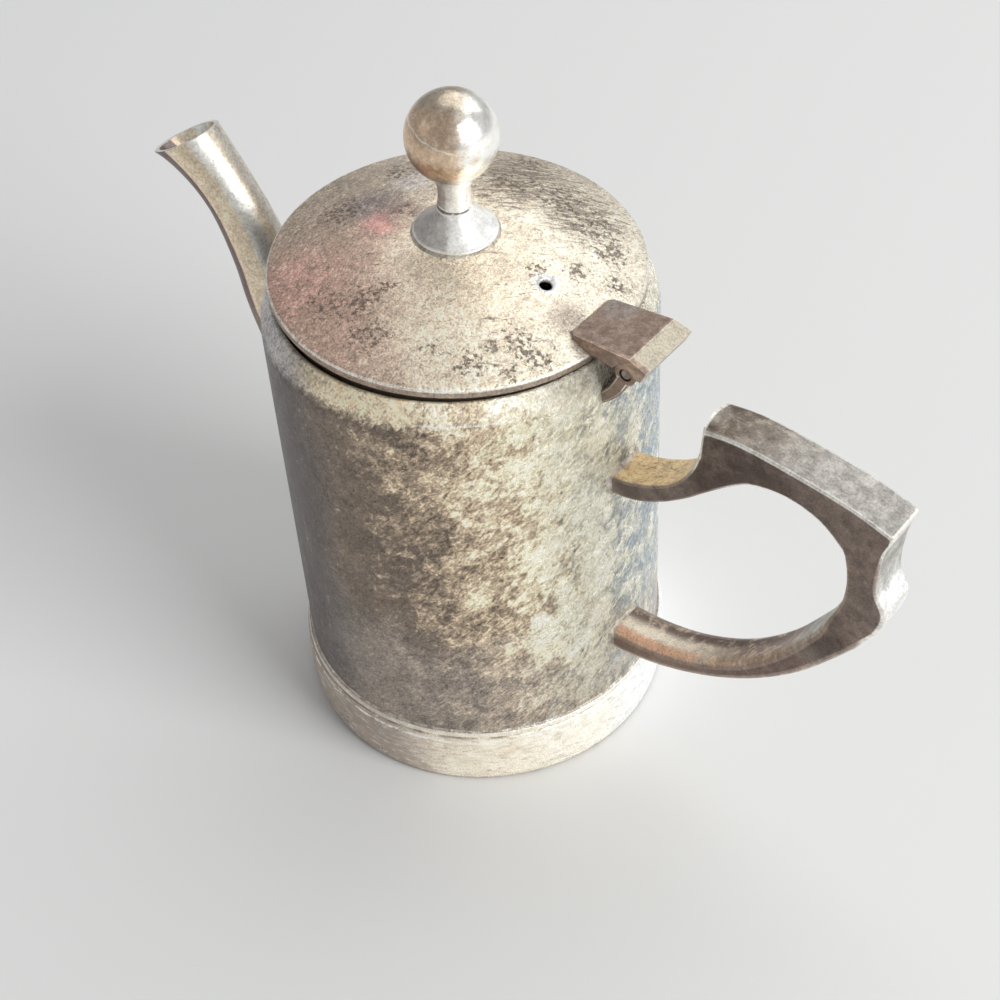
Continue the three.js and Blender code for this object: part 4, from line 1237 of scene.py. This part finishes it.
def knob_ball_mesh():
    """The ball on its waisted neck, with a joint line at the foot and a seam under the ball."""
    bottom = KNOB_BASE_TOP + 0.15
    start = math.asin(NECK_TOP_RADIUS / BALL_RADIUS)
    seam_z = BALL_Z - BALL_RADIUS * math.cos(start)
    neck = [(STUD_RADIUS, bottom), (NECK_RADIUS - 0.15, bottom), (NECK_RADIUS - 0.02, bottom + 0.12)]
    neck += [(neck_radius(s), bottom + 0.2 + (seam_z - 0.5 - bottom) * s) for s in steps(0.02, 0.95, 16)]
    neck += [(NECK_TOP_RADIUS + 0.05, seam_z - 0.3), (NECK_TOP_RADIUS - 0.14, seam_z - 0.12)]
    ball = [
        (BALL_RADIUS * math.sin(a), BALL_Z - BALL_RADIUS * math.cos(a))
        for a in steps(start, math.pi - 0.01, 44)
    ]
    return turned("knob", neck + ball, KNOB_SEGMENTS, closed=False)


def knob_seam_mesh():
    """A thin line of solder round the knob's foot, on the dome."""
    r = KNOB_BASE_RADIUS
    profile = [(r - 0.5, dome_height(r - 0.5) - 0.05), (r - 0.3, dome_height(r) + 0.3)]
    profile += [(r + 0.02, dome_height(r) + 0.22), (r + 0.35, dome_height(r + 0.35) + 0.02)]
    profile += [(r + 0.35, dome_height(r + 0.35) - 0.1)]
    return turned("knob_solder", profile, KNOB_SEGMENTS)


# The whole creamer

def make_pot(hinge, solder, fixing):
    spout = Spout()
    body = body_finish()
    add_piece("worn_body_shell", body_mesh(spout), body, "pot", ["body_shell"])
    add_piece("dished_base", base_mesh(), body, "pot", ["base_plate"])
    add_piece("curved_foot_band", foot_mesh(), foot_finish(), "pot", ["foot_ring"])
    add_piece("foot_solder", foot_seam_mesh(), solder, "pot")
    add_piece("curved_spout", spout_mesh(spout), spout_finish(), "pot", ["spout_tube"])
    joint = fillet_mesh("spout_fillet", lambda t: spout_ring(spout, t), SPOUT_SOLDER)
    add_piece("spout_solder", joint, solder, "pot")
    handle = mark_edges_and_corners(handle_mesh(), HANDLE_FULL_BEND)
    add_piece("cast_handle", handle, cast_finish(), "pot", ["handle"])
    for name, root in (("handle_upper_solder", upper_root), ("handle_lower_solder", lower_root)):
        add_piece(name, fillet_mesh(name, root, HANDLE_SOLDER), solder, "pot")
    bracket = hinge_mesh("hinge_bracket", BRACKET_ROUNDING)
    add_piece("worn_hinge_bracket", bracket, hinge, "pot", ["hinge_bracket"])
    add_piece("peened_pin", pin_mesh(), fixing, "pot", ["hinge_pin"])


def make_lid(hinge, solder, fixing):
    knob = knob_finish()
    add_piece("domed_lid", lid_mesh(), lid_finish(), "lid", ["lid_cover"], ajar=True)
    add_piece("lid_ring", bezel_mesh(), lid_ring_finish(), "lid", ["lid_bezel"], ajar=True)
    add_piece("flared_knob_foot", knob_base_mesh(), knob, "lid", ["knob_base"], ajar=True)
    add_piece("knob_ball_and_neck", knob_ball_mesh(), knob, "lid", ["knob_ball"], ajar=True)
    add_piece("knob_solder", knob_seam_mesh(), solder, "lid", ajar=True)
    leaf = hinge_mesh("hinge_leaf", LEAF_ROUNDING)
    add_piece("worn_hinge_leaf", leaf, hinge, "lid", ["hinge_leaf"])
    for name in ("knob_stud", "knob_washer", "knob_nut"):
        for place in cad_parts[name].material_slots:
            place.material = fixing


# Floor, light and camera

def make_floor():
    """A plain pale floor that keeps the object's shadow."""
    reach = FLOOR_REACH * MM
    mesh = bpy.data.meshes.new("floor")
    corners = [(x * reach, y * reach, -FLOOR_DROP * MM) for x, y in ((-1, -1), (1, -1), (1, 1), (-1, 1))]
    mesh.from_pydata(corners, [], [(0, 1, 2, 3)])
    f = Finish("pale_floor")
    colour = f.mix(f.noise(260, detail=3), (0.8, 0.8, 0.785), (0.77, 0.775, 0.765))
    f.node("OutputMaterial", {"Surface": f.node("BsdfPrincipled", {"Base Color": colour, "Roughness": 0.8})})
    mesh.materials.append(f.material)
    floor = bpy.data.objects.new("floor", mesh)
    bpy.context.scene.collection.objects.link(floor)


def add_lamp(name, right, away, height, width, depth, radiance):
    """A soft lamp of a given brightness that is aimed at the pot. Its place and size are in millimetres."""
    light = bpy.data.lights.new(name, "AREA")
    light.shape = "RECTANGLE"
    light.size, light.size_y = width * MM, depth * MM
    light.energy = radiance * math.pi * light.size * light.size_y
    lamp = bpy.data.objects.new(name, light)
    place = Vector(VIEW_RIGHT) * right + Vector(VIEW_AWAY) * away + Vector((0, 0, height))
    lamp.location = place * MM
    lamp.rotation_euler = (place - LAMP_AIM).to_track_quat("Z", "Y").to_euler()
    bpy.context.scene.collection.objects.link(lamp)


def make_light():
    world = bpy.data.worlds.new("soft_room")
    bpy.context.scene.world = world
    world.use_nodes = True
    background = world.node_tree.nodes["Background"]
    background.inputs["Color"].default_value = (*ROOM_COLOUR, 1.0)
    background.inputs["Strength"].default_value = ROOM_BRIGHTNESS
    for lamp in LAMPS:
        add_lamp(*lamp)


def make_camera():
    camera = bpy.data.cameras.new("camera")
    camera.sensor_width = 36
    camera.lens = CAMERA_LENS
    camera.clip_start = 0.01
    camera.clip_end = 50
    seen = bpy.data.objects.new("camera", camera)
    flat = math.cos(CAMERA_ELEVATION)
    back = Vector((
        math.sin(CAMERA_AZIMUTH) * flat, -math.cos(CAMERA_AZIMUTH) * flat, math.sin(CAMERA_ELEVATION),
    ))
    level = Vector(VIEW_RIGHT)
    above = back.cross(level)
    c, s = math.cos(CAMERA_ROLL), math.sin(CAMERA_ROLL)
    right = level * c + above * s
    up = above * c - level * s
    turn = Matrix((right, up, back)).transposed().to_4x4()
    seen.matrix_world = Matrix.Translation(CAMERA_PLACE * MM) @ turn
    bpy.context.scene.collection.objects.link(seen)
    bpy.context.scene.camera = seen


hinge_metal, pale_solder, fixing_metal = hinge_finish(), solder_finish(), fixing_finish()
make_pot(hinge_metal, pale_solder, fixing_metal)
make_lid(hinge_metal, pale_solder, fixing_metal)
make_floor()
make_light()
make_camera()
bpy.context.scene.view_settings.view_transform = "Standard"
